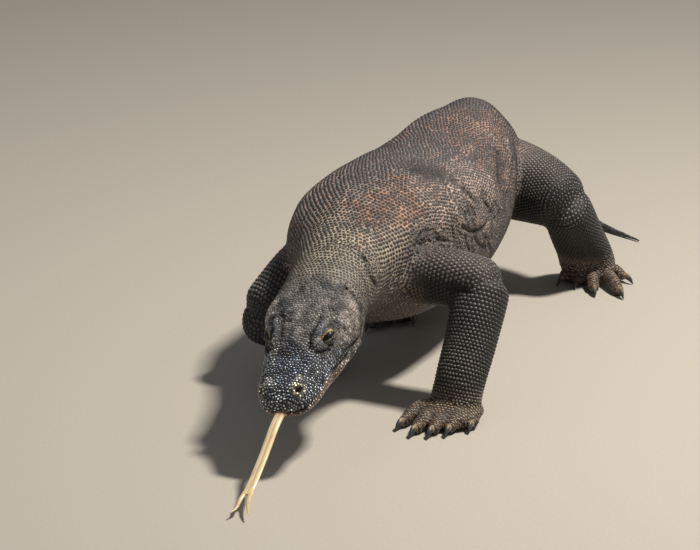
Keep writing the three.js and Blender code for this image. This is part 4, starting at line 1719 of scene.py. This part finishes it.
    def build(self) -> list[Object]:
        """Makes every coat piece.

        A scale's points are centre + lie * x * half length + across * y * half width +
        normal * z * height, over three levels: a rim under the skin, a shoulder and a crown.
        """
        self.grow()
        s = self.seeds
        net, bead = self.colours()
        rng = np.random.default_rng(SEED + 1)
        hide_points = read_points(self.hide.data)
        # painted shade: the hide between the scales is darkened deep in folds and creases
        paint = net[nearest(hide_points, s.points, 8.0)] * (1 - 0.6 * self.hide_sunk)[:, None]
        paint_points(self.hide.data, "paint", paint)
        gloss = self.gloss()
        sides = self.sides
        turn = np.arange(sides) * 2 * np.pi / sides
        x = np.concatenate([np.cos(turn), 0.64 * np.cos(turn) + 0.04, [0.12, 0.0]])
        y = np.concatenate([np.sin(turn), 0.78 * np.sin(turn), [0.0, 0.0]])
        z = np.concatenate([np.full(sides, -0.35), np.full(sides, 0.68), [1.05, -0.35]])
        tone = np.concatenate([np.zeros(sides), np.full(sides, 0.95), [1.0, 0.0]])[:, None]
        tip = np.concatenate([np.zeros(2 * sides), [1.0, 0.0]])[:, None]
        k, after = np.arange(sides), (np.arange(sides) + 1) % sides
        top, bottom = np.full(sides, 2 * sides), np.full(sides, 2 * sides + 1)
        rings = (
            (k, after, after + sides), (k, after + sides, k + sides),
            (k + sides, after + sides, top), (after, k, bottom),
        )
        faces = np.concatenate([np.stack(ring, -1) for ring in rings])
        pieces = []
        for number, name in enumerate(self.names):
            chosen = s.piece == number
            own = s.pick(chosen)
            count = len(own.points)
            across = unit(np.cross(own.normals, own.lie))
            lie = np.cross(across, own.normals)
            dots = ramp(own.station, 8.3, 9.3) * ramp(-own.station, -14, -12.5) * (own.limb < 0.5)
            crown = ramp(own.station, 3.5, 5) * ramp(-own.station, -8, -7) * (own.limb < 0.5)
            size = own.size * rng.uniform(0.9, 1.06, (count, 1)) * (1 + 0.06 * dots + 0.12 * crown)[:, None]
            spin = rng.uniform(-0.25, 0.25, (count, 1))
            px = x[None] * np.cos(spin) - y[None] * np.sin(spin) - 0.22 * own.limb[:, None] * (z > 0)
            py = x[None] * np.sin(spin) + y[None] * np.cos(spin)
            points = (
                own.points[:, None]
                + lie[:, None] * (px * size[:, :1])[..., None]
                + across[:, None] * (py * size[:, 1:2])[..., None]
                + own.normals[:, None] * (z[None] * size[:, 2:])[..., None]
            )
            points[..., 2] = np.maximum(points[..., 2], 0.15)
            each = len(x)
            index = faces[None] + (np.arange(count) * each)[:, None, None]
            piece = make_piece(name, points.reshape(-1, 3), [index.reshape(-1, 3)])
            spread = 0.16 + 0.14 * (number < 2)
            light = rng.normal(1.0, spread, (count, 1, 1)).clip(0.4, 1.8)
            snout = ramp(-own.station, -5.4, -2.6) * (own.region == Region.BODY.value)
            # painted highlights: random white glints on the tips of the snout's scales, and crown tips
            # painted a little lighter from the neck back
            glint = snout * ramp(own.station, -1, 2.5) * 13 * rng.random(count) ** 3
            glint = 0.3 * ramp(own.station, 7, 9) + glint
            lit = (tone + glint[:, None, None] * tip) * light
            shade = net[chosen][:, None] * (1 - tone) + bead[chosen][:, None] * lit
            paint_points(piece.data, "paint", shade.reshape(-1, 3), np.repeat(gloss[chosen], each))
            patch = np.stack([px, py], -1) * 0.0015
            uv = own.place[:, None] * 0.98 + 0.01 + patch
            layer = piece.data.uv_layers.new(name="OFBake")
            layer.uv.foreach_set("vector", uv.reshape(-1, 2)[index.ravel()].astype(np.float32).ravel())
            pieces.append(piece)
        return pieces


# ---------------------------------------------------------------- eyes, claws and tongue
@dataclass(frozen=True)
class EyeBalls:
    """The two eyeballs, each a ball with a slightly domed cornea."""

    rings: int = 28
    sides: int = 40
    cornea: float = 0.5

    def build(self) -> list[Object]:
        """Makes both balls.

        A point is centre + radius * (look * cos t + (along * cos p + across * sin p) * sin t),
        with the radius raised by the cornea's height round the gaze.
        """
        pieces = []
        for eye, name in zip(EYES, ("eye_left", "eye_right")):
            look, along, across = eye.axes()
            t = np.linspace(0, np.pi, self.rings)[1:-1]
            p = np.arange(self.sides) * 2 * np.pi / self.sides
            if eye.side < 0:
                p = -p
            tt, pp = (m.ravel()[:, None] for m in np.meshgrid(t, p, indexing="ij"))
            radius = HEAD.eye_radius + self.cornea * bell(tt, 0.45)
            points = eye.centre + radius * (
                look * np.cos(tt) + (along * np.cos(pp) + across * np.sin(pp)) * np.sin(tt)
            )
            poles = np.array([look * (HEAD.eye_radius + self.cornea), -look * HEAD.eye_radius])
            faces = tube_faces(len(t), self.sides)
            piece = make_piece(f"{name}_ball", np.vstack([points, eye.centre + poles]), faces)
            work = bmesh.new()
            work.from_mesh(piece.data)
            bmesh.ops.recalc_face_normals(work, faces=work.faces)
            work.to_mesh(piece.data)
            work.free()
            gaze = piece.data.attributes.new("gaze", "FLOAT", "POINT")
            values = np.concatenate([tt.ravel() / np.pi, [0.0, 1.0]])
            gaze.data.foreach_set("value", values.astype(np.float32))
            piece.data.materials.append(WetEye().make())
            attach(piece, "root")
            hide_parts(name)
            pieces.append(piece)
        return pieces


@dataclass(frozen=True)
class Claws:
    """Twenty claws, each a horn tube that curves over to a point.

    Fields:
        stagger: how far apart in the streaks two toes' claws lie.
    """

    rings: int = 22
    sides: int = 14
    stagger: float = 1.7

    def build(self) -> list[Object]:
        """Makes the claws, with a UV map from root to point and half way round."""
        finish = Horn().make()
        pieces = []
        for leg in LEGS:
            for toe in range(5):
                form = leg.claw_form(toe)
                points, faces = tube(form, np.linspace(0, form.last, self.rings), self.sides)
                points[:, 2] = np.maximum(points[:, 2], 0.2)
                piece = make_piece(f"{form.name}_horn", points, faces)
                along = np.concatenate([np.repeat(np.linspace(0, 1, self.rings), self.sides), [0, 1]])
                turn = np.concatenate([np.tile(np.arange(self.sides) / self.sides, self.rings), [0.5, 0.5]])
                corners = np.concatenate([f.ravel() for f in faces])
                layer = piece.data.uv_layers.new(name="UVMap")
                uv = np.stack([along, np.abs(turn * 2 - 1) + toe * self.stagger], -1)[corners]
                layer.uv.foreach_set("vector", uv.astype(np.float32).ravel())
                piece.data.materials.append(finish)
                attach(piece, "root")
                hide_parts(form.name)
                pieces.append(piece)
        return pieces


@dataclass(frozen=True)
class Tongue:
    """The forked tongue: one flat stem out of the lips and two tines."""

    stem: tuple[Row, ...] = (
        (50, -338, 97, 6.8, 3.4), (50, -366, 88, 6.6, 3.2), (52, -392, 77, 6.5, 2.8),
        (55, -430, 52, 6.4, 2.6), (57.5, -466, 31, 6.6, 2.4), (59, -488, 21, 6.4, 2.2),
    )
    left: tuple[Row, ...] = (
        (61.5, -478, 25, 3.2, 2.2), (65.5, -496, 18, 2.8, 2), (71, -510, 14, 2.1, 1.6),
        (78, -523, 11, 0.9, 0.9),
    )
    right: tuple[Row, ...] = (
        (55.5, -478, 25, 3.2, 2.2), (54.5, -496, 18, 2.8, 2), (56, -512, 12, 2.1, 1.6),
        (53, -525, 9, 0.9, 0.9),
    )
    rings: int = 60
    sides: int = 28
    voxel: float = 0.55
    groove: float = 0.7

    def build(self) -> Object:
        """Makes the tongue: three tubes merged by a voxel remesh, with a groove on top."""
        parts = (self.stem, self.left, self.right)
        forms = [Form("tongue", even_rows(rows, 2.2), inset=0.0) for rows in parts]
        shapes = [tube(form, np.linspace(0, form.last, self.rings), self.sides) for form in forms]
        piece = merge_shapes("tongue_wet", shapes, self.voxel)
        mesh = piece.data
        points = relax(read_points(mesh), read_edges(mesh), 0.5, 6)
        groove = path_distance(points, np.array(self.stem)[:, :3] + [0, 0, 3], 6)
        points = points - read_normals(mesh) * (self.groove * bell(groove, 1.3))[:, None]
        write_points(mesh, points)
        tip = ramp(-points[:, 1], 470, 515)
        base = blend(linear("#e6d2a4"), linear("#cdae7c"), tip * 0.6)
        base = blend(base, linear("#b98a70"), bell(groove, 1.6) * 0.45)
        root = ramp(points[:, 1], -385, -362)
        base = blend(base, linear("#8a5a48"), root * 0.8)
        paint_points(mesh, "paint", base)
        piece.data.materials.append(WetTongue().make())
        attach(piece, "root")
        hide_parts("tongue")
        return piece


# ---------------------------------------------------------------- the room
@dataclass(frozen=True)
class Studio:
    """A pale floor, one soft key light high on the right, and gentle fill."""

    floor_colour: str = "#b9b2a6"
    floor_radius: float = 9000
    floor_sides: int = 96
    key_watts: float = 134
    fill_watts: float = 4
    sky: float = 0.2
    lens: float = 174.857
    camera_place: Row = (1791.0, -4060.0, 1600.0)
    camera_turn: Row = (72.0, 0.0, 24.0)

    def floor(self) -> None:
        """A round floor of pale matt plaster, with a fine speckle."""
        sides = self.floor_sides
        k = np.arange(sides)
        turn = k * 2 * np.pi / sides
        ring = np.stack([np.cos(turn), np.sin(turn), 0 * turn], -1) * self.floor_radius - ORIGIN
        faces = np.stack([k, (k + 1) % sides, np.full(sides, sides)], -1)
        piece = make_piece("floor", np.vstack([ring, -ORIGIN]), [faces])
        material, tree, shader = start_material("floor_plaster")
        place = add_node(tree, "TexCoord").outputs["Object"]
        speck = add_node(tree, "TexNoise", Vector=place, Scale=220.0, Detail=3.0).outputs["Fac"]
        base = linear(self.floor_colour)
        colour = set_ramp(add_node(tree, "ValToRGB", Fac=speck), [(0.3, base * 0.94), (0.7, base)])
        set_sockets(shader, Base_Color=colour.outputs["Color"], Roughness=0.85)
        piece.data.materials.append(material)

    def _lamp(self, name: str, place: Row, aim: Row, size: float, watts: float, colour: str) -> None:
        """A square soft light at a place, turned to face its aim, in metres."""
        data = bpy.data.lights.new(name, "AREA")
        data.size, data.energy = size, watts
        data.color = linear(colour)
        lamp = bpy.data.objects.new(name, data)
        lamp.location = place
        lamp.rotation_euler = (Vector(aim) - Vector(place)).to_track_quat("-Z", "Y").to_euler()
        bpy.context.scene.collection.objects.link(lamp)

    def lights(self) -> None:
        """Key from the right and above, fill from the front left, and a pale sky."""
        self._lamp("key", (1.35, 0.15, 2.9), (0.0, -0.2, 0.1), 0.36, self.key_watts, "#fff9f1")
        self._lamp("fill", (-1.6, -2.4, 1.7), (0.0, -0.2, 0.1), 2.2, self.fill_watts, "#e8eefc")
        world = bpy.data.worlds.new("room")
        world.use_nodes = True
        background = world.node_tree.nodes["Background"]
        background.inputs["Color"].default_value = (*linear("#eef1f6"), 1.0)
        background.inputs["Strength"].default_value = self.sky
        bpy.context.scene.world = world

    def camera(self) -> None:
        """A long lens on the animal's left front, looking down at 18 degrees."""
        data = bpy.data.cameras.new("camera")
        data.sensor_width, data.lens = 36.0, self.lens
        data.clip_start, data.clip_end = 0.1, 60.0
        camera = bpy.data.objects.new("camera", data)
        camera.location = (np.array(self.camera_place) + ORIGIN) * MM
        camera.rotation_euler = np.radians(self.camera_turn)
        bpy.context.scene.collection.objects.link(camera)
        bpy.context.scene.camera = camera

    def build(self) -> None:
        """Sets up floor, lights, camera and plain colour handling."""
        self.floor()
        self.lights()
        self.camera()
        bpy.context.scene.view_settings.view_transform = "Standard"


# ---------------------------------------------------------------- all of it
FLESH = (
    "head", "lower_jaw", "neck", "chest", "belly", "hips", "tail_base", "tail_middle",
    "tail_end", "tail_tip",
    *(f"{part}_{side}" for side in ("left", "right")
      for part in ("upper_arm", "forearm", "hand", "thigh", "shank", "foot")),
)


def main() -> None:
    """Builds the animal and its room, piece by piece, and reports each piece."""
    logging.basicConfig(level=logging.INFO, format="%(relativeCreated)7d %(message)s")
    Studio().build()
    hide = Hide().build()
    scales = Coat(hide).build()
    hide.data.materials.clear()
    hide.data.materials.append(ScaledHide("soft_hide", 0.66, 1.3, 0.25, 0.35).make())
    horny = ScaledHide("keratin_scale").make()
    snout = ScaledHide("polished_keratin_scale", 0.42, wet=0.8).make()
    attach(hide, "root")
    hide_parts(*FLESH)
    for piece in scales:
        piece.data.materials.append(snout if piece.name == "scales_snout" else horny)
        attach(piece, "root")
    for piece in (hide, *scales, *EyeBalls().build(), *Claws().build(), Tongue().build()):
        LOG.info("%s: %d faces", piece.name, len(piece.data.polygons))


if __name__ == "__main__":
    main()
